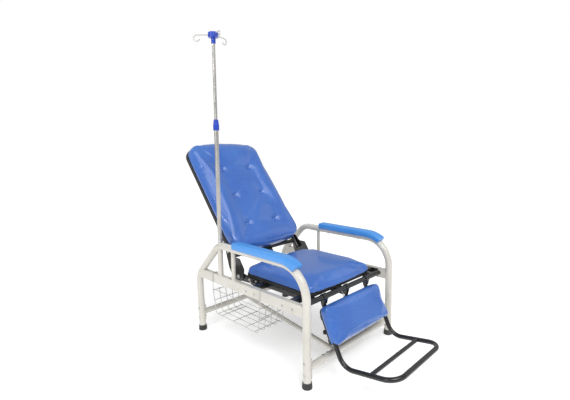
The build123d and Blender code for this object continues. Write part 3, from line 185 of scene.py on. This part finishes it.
def mix_colour(tree, factor, first, second):
    node = tree.nodes.new("ShaderNodeMix")
    node.data_type = "RGBA"
    for socket, value in ((node.inputs["Factor"], factor), (node.inputs[6], first), (node.inputs[7], second)):
        if isinstance(value, (int, float, tuple)):
            socket.default_value = value
        else:
            tree.links.new(value, socket)
    return node.outputs[2]


def build_mottle():
    """Slow drift between two colours, with a finer speckle over it."""
    tree, inside, outside = group_tree(
        "mottle",
        [
            ("Vector", "NodeSocketVector", None),
            ("Colour", "NodeSocketColor", (1, 1, 1, 1)),
            ("Second colour", "NodeSocketColor", (0.5, 0.5, 0.5, 1)),
            ("Scale", "NodeSocketFloat", 6.0),
            ("Roughness", "NodeSocketFloat", 0.3),
            ("Roughness drift", "NodeSocketFloat", 0.1),
        ],
        [("Colour", "NodeSocketColor"), ("Roughness", "NodeSocketFloat"), ("Mask", "NodeSocketFloat")],
    )
    slow = noise(tree, inside.outputs["Vector"], 6.0, 4.0)
    tree.links.new(inside.outputs["Scale"], slow.inputs["Scale"])
    fine = noise(tree, inside.outputs["Vector"], 90.0, 3.0)
    both = math_node(tree, "ADD", slow.outputs["Fac"], math_node(tree, "MULTIPLY", fine.outputs["Fac"], 0.35))
    mask = ramp(tree, both, 0.52, 0.88)
    tree.links.new(mask, outside.inputs["Mask"])
    colour = mix_colour(tree, mask, inside.outputs["Colour"], inside.outputs["Second colour"])
    tree.links.new(colour, outside.inputs["Colour"])
    drift = math_node(tree, "MULTIPLY", mask, inside.outputs["Roughness drift"])
    tree.links.new(math_node(tree, "ADD", inside.outputs["Roughness"], drift), outside.inputs["Roughness"])
    return tree


def build_peel():
    """A fine even bump: orange peel on paint, or drawn texture on moulded plastic."""
    tree, inside, outside = group_tree(
        "peel",
        [
            ("Vector", "NodeSocketVector", None),
            ("Scale", "NodeSocketFloat", 300.0),
            ("Strength", "NodeSocketFloat", 0.05),
            ("Depth", "NodeSocketFloat", 0.001),
        ],
        [("Normal", "NodeSocketVector")],
    )
    grain = noise(tree, inside.outputs["Vector"], 300.0, 2.0)
    tree.links.new(inside.outputs["Scale"], grain.inputs["Scale"])
    bump = tree.nodes.new("ShaderNodeBump")
    tree.links.new(inside.outputs["Strength"], bump.inputs["Strength"])
    tree.links.new(inside.outputs["Depth"], bump.inputs["Distance"])
    tree.links.new(grain.outputs["Fac"], bump.inputs["Height"])
    tree.links.new(bump.outputs["Normal"], outside.inputs["Normal"])
    return tree


def build_scuffs():
    """Short scattered marks, thicker towards the floor."""
    tree, inside, outside = group_tree(
        "scuffs",
        [
            ("Vector", "NodeSocketVector", None),
            ("Amount", "NodeSocketFloat", 0.5),
            ("Reach", "NodeSocketFloat", 0.35),
        ],
        [("Mask", "NodeSocketFloat")],
    )
    stretch = tree.nodes.new("ShaderNodeMapping")
    stretch.inputs["Scale"].default_value = (60.0, 60.0, 16.0)
    tree.links.new(inside.outputs["Vector"], stretch.inputs["Vector"])
    marks = noise(tree, stretch.outputs["Vector"], 1.0, 5.0, 0.7)
    sparse = ramp(tree, marks.outputs["Fac"], 0.66, 0.76)
    split = tree.nodes.new("ShaderNodeSeparateXYZ")
    tree.links.new(inside.outputs["Vector"], split.inputs["Vector"])
    height = math_node(tree, "DIVIDE", split.outputs["Z"], inside.outputs["Reach"])
    low = math_node(tree, "MAXIMUM", math_node(tree, "SUBTRACT", 1.0, height), 0.12)
    mask = math_node(tree, "MULTIPLY", sparse, low)
    tree.links.new(math_node(tree, "MULTIPLY", mask, inside.outputs["Amount"]), outside.inputs["Mask"])
    return tree


MOTTLE = build_mottle()
PEEL = build_peel()
SCUFFS = build_scuffs()


def place_group(material, tree, **values):
    node = material.node_tree.nodes.new("ShaderNodeGroup")
    node.node_tree = tree
    for label, value in values.items():
        node.inputs[label.replace("_", " ")].default_value = value
    return node


def new_material(name):
    """A material with its shader and its Object coordinates."""
    material = bpy.data.materials.new(name)
    material.use_nodes = True
    shader = material.node_tree.nodes["Principled BSDF"]
    coords = material.node_tree.nodes.new("ShaderNodeTexCoord").outputs["Object"]
    return material, shader, coords


def coated(name, colour, second, roughness, peel_scale, peel_strength, coat, metallic=0.0, scuff=None,
           scuff_colour=(0.2, 0.19, 0.17, 1), drift=0.08, mottle_scale=6.0, peel_depth=0.001):
    """A paint, plating or moulded plastic: drifting colour, a fine bump and marks near the floor."""
    material, shader, coords = new_material(name)
    link = material.node_tree.links.new
    mottle = place_group(
        material, MOTTLE, Colour=colour, Second_colour=second, Scale=mottle_scale, Roughness=roughness,
        Roughness_drift=drift,
    )
    peel = place_group(material, PEEL, Scale=peel_scale, Strength=peel_strength, Depth=peel_depth)
    link(coords, mottle.inputs["Vector"])
    link(coords, peel.inputs["Vector"])
    link(peel.outputs["Normal"], shader.inputs["Normal"])
    tint = mottle.outputs["Colour"]
    if scuff is not None:
        marks = place_group(material, SCUFFS, Amount=scuff)
        link(coords, marks.inputs["Vector"])
        tint = mix_colour(material.node_tree, marks.outputs["Mask"], tint, scuff_colour)
    link(tint, shader.inputs["Base Color"])
    link(mottle.outputs["Roughness"], shader.inputs["Roughness"])
    shader.inputs["Metallic"].default_value = metallic
    shader.inputs["Coat Weight"].default_value = coat
    shader.inputs["Coat Roughness"].default_value = 0.06
    return material


def dress(names, material):
    """Give CAD nodes this material in all of their slots."""
    for name in names:
        obj = nodes[name]
        if not obj.material_slots:
            obj.data.materials.append(material)
        for material_slot in obj.material_slots:
            material_slot.material = material


cream_paint = coated(
    "cream gloss paint", (0.63, 0.61, 0.56, 1), (0.54, 0.52, 0.465, 1), 0.24, 260.0, 0.07, 0.5, scuff=0.55
)
dress(
    [
        "side_frame_near",
        "side_frame_far",
        "side_rail_near",
        "side_rail_far",
        "arm_strut_near",
        "arm_strut_far",
        "pole_socket",
        "middle_brace",
        "front_stretcher",
        "rear_stretcher",
    ],
    cream_paint,
)

# ------------------------------------------------------------------ weld beads
# Hand-laid fillet welds where the struts, the pole socket and the stretchers meet the frame:
# low rippled rings that follow the round of the tube they join, under the same paint.
MIDDLE_X = 0.021011
FRONT_FOOT_Y = -0.371479
SIDE_X = 0.337
ARM_Z = 0.531
RAIL_TOP_Z = 0.368
SIDE_TUBE = 0.019
STRUT_TUBE = 0.011
STRUT_BEAD = 0.0016
SOCKET_TUBE = 0.014
STRETCHER_TUBE = 0.016
STRETCHER_SLEEVE = 0.022
WIDE_BEAD = 0.0018
BEAD_RIPPLES = 26
BEAD_FLATNESS = 0.8


def weld_ring(name, centre, turn, tube, bead, joined=0.0):
    """A bead round a tube of this radius; joined is the radius of the round tube it lands on."""
    bpy.ops.object.select_all(action="DESELECT")
    bpy.ops.mesh.primitive_torus_add(
        major_radius=tube + bead * 0.3, minor_radius=bead, major_segments=72, minor_segments=10
    )
    obj = bpy.context.object
    obj.name = name
    for vertex in obj.data.vertices:
        co = vertex.co
        around = math.atan2(co.y, co.x)
        out = sqrt(co.x * co.x + co.y * co.y)
        ripple = 1 + 0.10 * sin(around * BEAD_RIPPLES)
        grown = tube + (out - tube) * ripple
        co.x *= grown / out
        co.y *= grown / out
        co.z *= ripple * BEAD_FLATNESS
        if joined:
            across = min(abs(co.x), joined * 0.999)
            co.z -= sqrt(joined * joined - across * across)
    obj.data.transform(Matrix.Translation(centre) @ turn)
    bpy.ops.object.shade_smooth()
    obj.data.materials.append(cream_paint)
    return obj


UPRIGHT = Matrix.Identity(4)
TO_LEFT = Matrix.Rotation(radians(90), 4, "Y")
TO_RIGHT = Matrix.Rotation(radians(-90), 4, "Y")
STRUT_Y = FRONT_FOOT_Y + 0.512
SOCKET_Y = FRONT_FOOT_Y + 0.625
beads = []
for side in (-1, 1):
    x = MIDDLE_X + side * SIDE_X
    beads.append(weld_ring("strut_foot_weld", (x, STRUT_Y, RAIL_TOP_Z), UPRIGHT, STRUT_TUBE, STRUT_BEAD))
    beads.append(
        weld_ring("strut_head_weld", (x, STRUT_Y, ARM_Z), UPRIGHT, STRUT_TUBE, STRUT_BEAD, SIDE_TUBE)
    )
    for name, y, z in (("front", FRONT_FOOT_Y, 0.088), ("rear", FRONT_FOOT_Y + 0.8263, 0.100)):
        # turned so that the ring's drop follows the upright sleeve
        lay = (TO_RIGHT if side < 0 else TO_LEFT) @ Matrix.Rotation(radians(90), 4, "Z")
        label = f"{name}_stretcher_weld"
        beads.append(weld_ring(label, (x, y, z), lay, STRETCHER_TUBE, WIDE_BEAD, STRETCHER_SLEEVE))
socket_place = (MIDDLE_X - SIDE_X, SOCKET_Y, RAIL_TOP_Z)
beads.append(weld_ring("socket_weld", socket_place, UPRIGHT, SOCKET_TUBE, WIDE_BEAD))
bpy.ops.object.select_all(action="DESELECT")
for bead in beads:
    bead.select_set(True)
bpy.context.view_layer.objects.active = beads[0]
bpy.ops.object.join()
frame_welds = bpy.context.object
frame_welds.name = "frame_welds"
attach(frame_welds, "base_frame")

# ------------------------------------------------------------------ rubber feet
# Moulded black rubber cups pushed over the tube ends, dusty grey where they meet the floor.
foot_rubber = coated(
    "foot rubber", (0.018, 0.018, 0.019, 1), (0.045, 0.044, 0.042, 1), 0.55, 700.0, 0.2, 0.0, scuff=0.6,
    scuff_colour=(0.14, 0.13, 0.12, 1),
)
dress(["foot_caps"], foot_rubber)

# ------------------------------------------------------------------ black steelwork
# The seat frame, hinges, back frame, leg frame and foot rail: mild steel in gloss black paint,
# with the paint rubbed to a dull grey here and there.
black_paint = coated(
    "black gloss paint", (0.007, 0.007, 0.008, 1), (0.014, 0.014, 0.015, 1), 0.2, 240.0, 0.09, 0.12,
    scuff=0.35, scuff_colour=(0.13, 0.13, 0.13, 1),
)
dress(
    [
        "seat_frame",
        "leg_hinge_tube",
        "back_hinge_bracket_near",
        "back_hinge_bracket_far",
        "gas_spring_cylinder",
        "release_lever",
        "back_hinge_plate_near",
        "back_hinge_plate_far",
        "back_frame",
        "leg_frame",
        "leg_link_rod",
        "foot_rail",
    ],
    black_paint,
)

# ------------------------------------------------------------------ fasteners
# Zinc-plated bolts, nuts, pins and screws, with the cloudy bluish grey of bright plating.
zinc = coated(
    "bright zinc", (0.62, 0.61, 0.59, 1), (0.42, 0.42, 0.42, 1), 0.26, 900.0, 0.05, 0.0, metallic=1.0,
    mottle_scale=120.0, drift=0.2,
)
dress(
    [
        "stretcher_bolts",
        "tie_bolts",
        "rail_bolts",
        "bracket_bolts",
        "back_plate_bolts",
        "back_pivot_bolts",
        "armrest_screws",
        "seat_screws",
        "back_screws",
        "leg_screws",
        "gas_spring_pin",
        "crank_pin",
        "leg_link_pin",
        "lever_pivot_bolt",
        "gas_spring_rod",
    ],
    zinc,
)


# ------------------------------------------------------------------ drip pole and hooks
# Thin stainless tube, polished along its length, so its fine scratches run down it.
def build_polish():
    """Polishing scratches drawn along the pole."""
    tree, inside, outside = group_tree(
        "polish lines",
        [("Vector", "NodeSocketVector", None), ("Strength", "NodeSocketFloat", 0.1)],
        [("Mask", "NodeSocketFloat"), ("Normal", "NodeSocketVector")],
    )
    stretch = tree.nodes.new("ShaderNodeMapping")
    stretch.inputs["Scale"].default_value = (1400.0, 1400.0, 24.0)
    tree.links.new(inside.outputs["Vector"], stretch.inputs["Vector"])
    lines = noise(tree, stretch.outputs["Vector"], 1.0, 3.0, 0.6)
    tree.links.new(lines.outputs["Fac"], outside.inputs["Mask"])
    bump = tree.nodes.new("ShaderNodeBump")
    bump.inputs["Distance"].default_value = 0.0004
    tree.links.new(inside.outputs["Strength"], bump.inputs["Strength"])
    tree.links.new(lines.outputs["Fac"], bump.inputs["Height"])
    tree.links.new(bump.outputs["Normal"], outside.inputs["Normal"])
    return tree


POLISH = build_polish()
stainless, shader, coords = new_material("polished stainless")
link = stainless.node_tree.links.new
polish = place_group(stainless, POLISH, Strength=0.12)
tone = place_group(
    stainless, MOTTLE, Colour=(0.60, 0.585, 0.56, 1), Second_colour=(0.47, 0.455, 0.43, 1), Scale=9.0
)
link(coords, polish.inputs["Vector"])
link(coords, tone.inputs["Vector"])
link(tone.outputs["Colour"], shader.inputs["Base Color"])
link(polish.outputs["Normal"], shader.inputs["Normal"])
link(ramp(stainless.node_tree, polish.outputs["Mask"], -0.7, 3.2), shader.inputs["Roughness"])
shader.inputs["Metallic"].default_value = 1.0
dress(["pole_lower_tube", "pole_upper_tube", "iv_hooks"], stainless)

# ------------------------------------------------------------------ blue and black mouldings
# The hook hub and the pole's twist collar are injection moulded in deep blue; the bushes, the
# lever's grip and the clamp knobs are matt black.
blue_moulding = coated(
    "deep blue moulding", (0.010, 0.05, 0.42, 1), (0.014, 0.075, 0.50, 1), 0.24, 500.0, 0.06, 0.35, drift=0.06
)
dress(["hook_hub", "pole_lock_collar"], blue_moulding)
black_moulding = coated(
    "black moulding", (0.015, 0.015, 0.016, 1), (0.03, 0.03, 0.03, 1), 0.42, 600.0, 0.15, 0.0
)
dress(["lever_grip", "foot_rail_clamp_screws", "pole_slider_bush", "pole_collet"], black_moulding)

# ------------------------------------------------------------------ wire basket
# White plastic-dipped steel wire, its coat slightly lumpy all over.
wire_coat = coated(
    "white wire coat", (0.54, 0.54, 0.52, 1), (0.46, 0.455, 0.43, 1), 0.3, 180.0, 0.12, 0.3, mottle_scale=14.0
)
dress([name for name in nodes if name.startswith("basket_")], wire_coat)

# ------------------------------------------------------------------ boards
# Plywood seat, back and leg boards, wrapped in thin black backing cloth.
def build_weave():
    """A plain weave of crossing threads."""
    tree, inside, outside = group_tree(
        "backing weave",
        [
            ("Vector", "NodeSocketVector", None),
            ("Scale", "NodeSocketFloat", 700.0),
            ("Strength", "NodeSocketFloat", 0.3),
        ],
        [("Mask", "NodeSocketFloat"), ("Normal", "NodeSocketVector")],
    )
    threads = []
    for direction in ("X", "Y"):
        wave = tree.nodes.new("ShaderNodeTexWave")
        wave.bands_direction = direction
        wave.inputs["Distortion"].default_value = 0.6
        tree.links.new(inside.outputs["Vector"], wave.inputs["Vector"])
        tree.links.new(inside.outputs["Scale"], wave.inputs["Scale"])
        threads.append(wave.outputs["Fac"])
    height = math_node(tree, "MAXIMUM", threads[0], threads[1])
    tree.links.new(height, outside.inputs["Mask"])
    bump = tree.nodes.new("ShaderNodeBump")
    bump.inputs["Distance"].default_value = 0.0006
    tree.links.new(inside.outputs["Strength"], bump.inputs["Strength"])
    tree.links.new(height, bump.inputs["Height"])
    tree.links.new(bump.outputs["Normal"], outside.inputs["Normal"])
    return tree


WEAVE = build_weave()
backing, shader, coords = new_material("black backing cloth")
link = backing.node_tree.links.new
weave = place_group(backing, WEAVE, Scale=260.0, Strength=0.35)
link(coords, weave.inputs["Vector"])
link(
    mix_colour(backing.node_tree, weave.outputs["Mask"], (0.008, 0.008, 0.009, 1), (0.026, 0.026, 0.028, 1)),
    shader.inputs["Base Color"],
)
link(ramp(backing.node_tree, weave.outputs["Mask"], -1.2, 2.0), shader.inputs["Roughness"])
link(weave.outputs["Normal"], shader.inputs["Normal"])
dress(["seat_board", "back_board", "leg_board"], backing)


# ------------------------------------------------------------------ blue vinyl
# Glossy royal-blue upholstery vinyl: a fine pebble grain under a wet-looking coat, a shade
# lighter in slow random patches.
def build_pebble():
    """Pressed leather grain: small cells with soft creases between them."""
    tree, inside, outside = group_tree(
        "pebble grain",
        [
            ("Vector", "NodeSocketVector", None),
            ("Scale", "NodeSocketFloat", 420.0),
            ("Strength", "NodeSocketFloat", 0.1),
        ],
        [("Mask", "NodeSocketFloat"), ("Normal", "NodeSocketVector")],
    )
    cells = tree.nodes.new("ShaderNodeTexVoronoi")
    cells.feature = "SMOOTH_F1"
    tree.links.new(inside.outputs["Vector"], cells.inputs["Vector"])
    tree.links.new(inside.outputs["Scale"], cells.inputs["Scale"])
    ripple = noise(tree, inside.outputs["Vector"], 22.0, 4.0)
    height = math_node(
        tree, "ADD", cells.outputs["Distance"], math_node(tree, "MULTIPLY", ripple.outputs["Fac"], 1.6)
    )
    # the cells' distance also goes out as a mask, which the vinyl uses to paint shade into the grain's
    # creases
    tree.links.new(cells.outputs["Distance"], outside.inputs["Mask"])
    bump = tree.nodes.new("ShaderNodeBump")
    bump.inputs["Distance"].default_value = 0.0012
    tree.links.new(inside.outputs["Strength"], bump.inputs["Strength"])
    tree.links.new(height, bump.inputs["Height"])
    tree.links.new(bump.outputs["Normal"], outside.inputs["Normal"])
    return tree


PEBBLE = build_pebble()


def vinyl(name, colour, second, roughness, grain, coat):
    material, shader, coords = new_material(name)
    link = material.node_tree.links.new
    pebble = place_group(material, PEBBLE, Scale=grain, Strength=0.13)
    tone = place_group(
        material, MOTTLE, Colour=colour, Second_colour=second, Scale=5.0, Roughness=roughness,
        Roughness_drift=0.07,
    )
    link(coords, pebble.inputs["Vector"])
    link(coords, tone.inputs["Vector"])
    # painted shade: the creases between the grain's cells are mixed towards a darker blue, as if shade lay in
    # them
    grain_shade_mask = ramp(material.node_tree, pebble.outputs["Mask"], 0.2, 1.4)
    grain_shade_colour = tuple(channel * 0.8 for channel in colour[:3]) + (1,)
    link(mix_colour(material.node_tree, grain_shade_mask, tone.outputs["Colour"], grain_shade_colour), shader.inputs["Base Color"])
    link(tone.outputs["Roughness"], shader.inputs["Roughness"])
    link(pebble.outputs["Normal"], shader.inputs["Normal"])
    shader.inputs["Coat Weight"].default_value = coat
    shader.inputs["Coat Roughness"].default_value = 0.12
    shader.inputs["Specular IOR Level"].default_value = 0.55
    return material


blue_vinyl = vinyl("royal blue vinyl", (0.034, 0.128, 0.47, 1), (0.048, 0.170, 0.55, 1), 0.27, 420.0, 0.5)


# ------------------------------------------------------------------ seat cushion
# Foam under vinyl, pulled down and stapled round its board. The foam swells the cover into a
# crown, and the pull leaves soft creases that fan out from the corners.
def local_copy(node, to_row, name):
    """A merged copy of a CAD node's mesh, laid flat in its own plane."""
    mesh = nodes[node].data.copy()
    mesh.transform(to_row.inverted())
    obj = bpy.data.objects.new(name, mesh)
    scene.collection.objects.link(obj)
    shape = bmesh.new()
    shape.from_mesh(mesh)
    bmesh.ops.remove_doubles(shape, verts=shape.verts, dist=0.00002)
    shape.to_mesh(mesh)
    shape.free()
    mesh.materials.clear()
    return obj


def corners(mesh):
    low = [min(vertex.co[axis] for vertex in mesh.vertices) for axis in range(3)]
    high = [max(vertex.co[axis] for vertex in mesh.vertices) for axis in range(3)]
    return Vector(low), Vector(high)


CLOTH_STRETCH = 18
CLOTH_SHEAR = 8
CLOTH_BEND = 3.0
CLOTH_MASS = 0.25
FOAM_FOOT = 0.004
BUTTON_RADIUS = 0.0095


def swell(obj, pressure, cap, held, frames=20):
    """Blow the cover up as cloth over its held points, and keep every point within the cap."""
    mesh = obj.data
    start = [vertex.co.copy() for vertex in mesh.vertices]
    group = obj.vertex_groups.new(name="held")
    group.add([index for index, co in enumerate(start) if held(co)], 1.0, "REPLACE")
    cloth = obj.modifiers.new("cloth", "CLOTH")
    settings = cloth.settings
    settings.quality = 5
    settings.mass = CLOTH_MASS
    settings.tension_stiffness = CLOTH_STRETCH
    settings.compression_stiffness = CLOTH_STRETCH
    settings.shear_stiffness = CLOTH_SHEAR
    settings.bending_stiffness = CLOTH_BEND
    settings.use_pressure = True
    settings.uniform_pressure_force = pressure
    settings.vertex_group_mass = "held"
    settings.effector_weights.gravity = 0
    cloth.point_cache.frame_start = 1
    cloth.point_cache.frame_end = frames
    for step in range(1, frames + 1):
        scene.frame_set(step)
    view = bpy.context.evaluated_depsgraph_get()
    blown = obj.evaluated_get(view).to_mesh()
    ends = [vertex.co.copy() for vertex in blown.vertices]
    obj.evaluated_get(view).to_mesh_clear()
    obj.modifiers.remove(cloth)
    obj.vertex_groups.clear()
    scene.frame_set(1)
    for vertex, first, last in zip(mesh.vertices, start, ends):
        move = last - first
        if move.length > cap:
            move *= cap / move.length
        vertex.co = first + move


def add_modifier(obj, kind, **values):
    modifier = obj.modifiers.new(kind.lower(), kind)
    for key, value in values.items():
        setattr(modifier, key, value)
    select_only(obj)
    bpy.ops.object.modifier_apply(modifier=modifier.name)


def stuffed(node, name, to_row, inset, drop, pressure, cap, buttons=(), voxel=0.006, relax=24, shape=None):
    """A cushion blown up from its CAD solid: inset on its sides, drop lower on top."""
    obj = local_copy(node, to_row, name)
    low, high = corners(obj.data)
    middle = (low + high) / 2
    for vertex in obj.data.vertices:
        for axis in (0, 1):
            half = (high[axis] - low[axis]) / 2
            vertex.co[axis] = middle[axis] + (vertex.co[axis] - middle[axis]) * (half - inset) / half
        share = (vertex.co.z - low.z) / (high.z - low.z)
        vertex.co.z = low.z + 0.0002 + share * (high.z - low.z - drop)
    select_only(obj)
    obj.data.remesh_voxel_size = voxel
    bpy.ops.object.voxel_remesh()
    top = high.z - drop
    for vertex in obj.data.vertices:
        for x, y in buttons:
            away = sqrt((vertex.co.x - x) ** 2 + (vertex.co.y - y) ** 2)
            if vertex.co.z > top - 0.03:
                vertex.co.z -= 0.010 * math.exp(-((away / 0.020) ** 2))

    def held(co):
        if co.z < low.z + FOAM_FOOT:
            return True
        near_button = any((co.x - x) ** 2 + (co.y - y) ** 2 < BUTTON_RADIUS ** 2 for x, y in buttons)
        return near_button and co.z > middle.z

    swell(obj, pressure, cap, held)
    add_modifier(obj, "SMOOTH", factor=0.5, iterations=relax)
    if shape:
        shape(obj.data, low, high)
    floor_z = low.z + 0.0003
    for vertex in obj.data.vertices:
        vertex.co.z = max(vertex.co.z, floor_z)
    add_modifier(obj, "SUBSURF", levels=1, render_levels=1)
    obj.data.transform(to_row)
    select_only(obj)
    bpy.ops.object.shade_smooth()
    return obj


def cushion_ready(obj, node, body, material):
    obj.data.materials.clear()
    obj.data.materials.append(material)
    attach(obj, body)
    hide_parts(node)


def seat_creases(mesh, low, high):
    """Folds that fan out from the four corners, and a raised middle."""
    middle = (low + high) / 2
    for vertex in mesh.vertices:
        co = vertex.co
        if co.z < low.z + 0.02:
            continue
        across = (co.x - middle.x) / (high.x - middle.x)
        along = (co.y - middle.y) / (high.y - middle.y)
        bowl = max(0.0, 1 - across * across) * max(0.0, 1 - along * along)
        co.z += 0.010 * bowl ** 0.5
        for side in (-1, 1):
            for end in (-1, 1):
                dx = (side * high.x - co.x) * side
                dy = (middle.y + end * (high.y - middle.y) - co.y) * end
                reach = sqrt(dx * dx + dy * dy)
                angle = math.atan2(dy, dx)
                fade = math.exp(-(((reach - 0.085) / 0.05) ** 2))
                co.z += 0.0016 * fade * sin(angle * 11 + side * 0.7 + end * 0.4)


level = Matrix.Identity(4)
seat_cushion = stuffed(
    "seat_cushion", "seat_pad", level, 0.006, 0.012, 2.6, 0.022, shape=seat_creases
)
cushion_ready(seat_cushion, "seat_cushion", "base_frame", blue_vinyl)

# ------------------------------------------------------------------ back cushion and buttons
# A long stuffed panel, held down by six covered buttons tied through to the board. Each button
# sits in its own dimple and the cover pulls towards it.
BACK_TILT = radians(39.0)
BACK_PIVOT = Vector((0.021011, 0.196520, 0.355))
BUTTON_PLACES = [(side * 0.105, along) for side in (-1, 1) for along in (0.262, 0.458, 0.656)]
along_back = Vector((0, sin(BACK_TILT), cos(BACK_TILT)))
out_of_back = Vector((0, -cos(BACK_TILT), sin(BACK_TILT)))
back_plane = Matrix.Translation(BACK_PIVOT) @ Matrix(
    (Vector((1, 0, 0)), along_back, out_of_back)
).transposed().to_4x4()


# where the cover is drawn in a soft line: from each button to its neighbours and to the corners
PULLS = [
    ((-0.105, 0.262), (0.105, 0.458), 0.0022), ((0.105, 0.262), (-0.105, 0.458), 0.0018),
    ((-0.105, 0.458), (0.105, 0.656), 0.0026), ((0.105, 0.458), (-0.105, 0.656), 0.0022),
    ((-0.105, 0.656), (-0.215, 0.830), 0.0030), ((0.105, 0.656), (0.215, 0.830), 0.0030),
    ((-0.105, 0.262), (-0.215, 0.140), 0.0026), ((0.105, 0.262), (0.215, 0.140), 0.0026),
]


def back_creases(mesh, low, high):
    """Dimples at the buttons, slack folds between them and out to the corners, and a fuller middle."""
    middle = (low + high) / 2
    for vertex in mesh.vertices:
        co = vertex.co
        if co.z < middle.z:
            continue
        across = (co.x - middle.x) / (high.x - middle.x)
        along = (co.y - middle.y) / (high.y - middle.y)
        bowl = max(0.0, 1 - across * across) * max(0.0, 1 - along * along)
        co.z += 0.006 * bowl ** 0.5
        for x, y in BUTTON_PLACES:
            dx, dy = co.x - x, co.y - y
            reach = sqrt(dx * dx + dy * dy)
            co.z -= 0.0075 * math.exp(-((reach / 0.017) ** 2))
        for (ax, ay), (bx, by), depth in PULLS:
            run_x, run_y = bx - ax, by - ay
            run = sqrt(run_x * run_x + run_y * run_y)
            ahead = ((co.x - ax) * run_x + (co.y - ay) * run_y) / run
            aside = ((co.x - ax) * run_y - (co.y - ay) * run_x) / run
            if -0.02 < ahead < run + 0.02:
                along_pull = sin(pi * max(0.0, min(1.0, (ahead + 0.02) / (run + 0.04))))
                co.z -= depth * along_pull * math.exp(-((aside / 0.012) ** 2))


back_cushion = stuffed(
    "back_cushion", "back_pad", back_plane, 0.006, 0.014, 2.6, 0.022, buttons=BUTTON_PLACES,
    shape=back_creases,
)
cushion_ready(back_cushion, "back_cushion", "back_rest", blue_vinyl)

bpy.ops.object.select_all(action="DESELECT")
button_parts = []
back_inverse = back_plane.inverted()
surface = [back_inverse @ vertex.co for vertex in back_cushion.data.vertices]
for x, along in BUTTON_PLACES:
    near = [co.z for co in surface if (co.x - x) ** 2 + (co.y - along) ** 2 < 0.006 ** 2]
    dimple = max(near)
    bpy.ops.mesh.primitive_uv_sphere_add(segments=32, ring_count=16, radius=BUTTON_RADIUS)
    button = bpy.context.object
    bpy.ops.object.mode_set(mode="EDIT")
    bpy.ops.mesh.select_all(action="SELECT")
    bpy.ops.transform.resize(value=(1, 1, 0.42))
    bpy.ops.mesh.bisect(plane_co=(0, 0, -0.0012), plane_no=(0, 0, 1), clear_inner=True, use_fill=True)
    bpy.ops.object.mode_set(mode="OBJECT")
    button.data.transform(back_plane @ Matrix.Translation((x, along, dimple + 0.0006)))
    button_parts.append(button)
for button in button_parts:
    button.select_set(True)
bpy.context.view_layer.objects.active = button_parts[0]
bpy.ops.object.join()
buttons = bpy.context.object
buttons.name = "covered_buttons"
bpy.ops.object.shade_smooth_by_angle(angle=radians(40))
buttons.data.materials.append(blue_vinyl)
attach(buttons, "back_rest")
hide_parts("back_buttons")

# ------------------------------------------------------------------ leg rest pad
# A short stuffed panel in the same vinyl. A raised roll runs round its face, and shallow ribs
# are pressed across its middle.
LEG_TILT = radians(25.0)
LEG_HINGE = Vector((0.021011, -0.331480, 0.355))
down_leg = Vector((0, -sin(LEG_TILT), -cos(LEG_TILT)))
out_of_leg = Vector((0, -cos(LEG_TILT), sin(LEG_TILT)))
leg_plane = Matrix.Translation(LEG_HINGE) @ Matrix(
    (Vector((-1, 0, 0)), down_leg, out_of_leg)
).transposed().to_4x4()
RIB_PITCH = 0.0125
RIB_DEPTH = 0.0007


def leg_ribs(mesh, low, high):
    """The face's roll and its pressed ribs."""
    middle = (low + high) / 2
    for vertex in mesh.vertices:
        co = vertex.co
        if co.z < high.z - 0.016:
            continue
        edge = min(high.x - abs(co.x), co.y - low.y, high.y - co.y)
        co.z += 0.0026 * math.exp(-(((edge - 0.017) / 0.009) ** 2))
        inner = max(0.0, min(1.0, (edge - 0.030) / 0.025))
        side_fade = max(0.0, 1 - (abs(co.x) / 0.17) ** 4)
        co.z += RIB_DEPTH * inner * side_fade * cos(2 * pi * (co.y - middle.y) / RIB_PITCH)


leg_pad = stuffed(
    "leg_pad", "leg_rest_pad", leg_plane, 0.004, 0.005, 2.4, 0.009, voxel=0.004, relax=10,
    shape=leg_ribs,
)
cushion_ready(leg_pad, "leg_pad", "leg_rest", blue_vinyl)

# ------------------------------------------------------------------ armrest pads
# One-piece mouldings of self-skinning foam, pressed over the arm tube. Their edges are soft and
# the skin has a fine grain.
azure_skin = vinyl("azure foam skin", (0.050, 0.27, 0.72, 1), (0.075, 0.33, 0.80, 1), 0.36, 520.0, 0.2)
PAD_VOXEL = 0.0022
for label in ("near", "far"):
    node = f"armrest_pad_{label}"
    pad = local_copy(node, level, f"arm_pad_{label}")
    select_only(pad)
    pad.data.remesh_voxel_size = PAD_VOXEL
    bpy.ops.object.voxel_remesh()
    add_modifier(pad, "SMOOTH", factor=0.6, iterations=36)
    select_only(pad)
    bpy.ops.object.shade_smooth()
    pad.data.materials.clear()
    pad.data.materials.append(azure_skin)
    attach(pad, "base_frame")
    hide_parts(node)
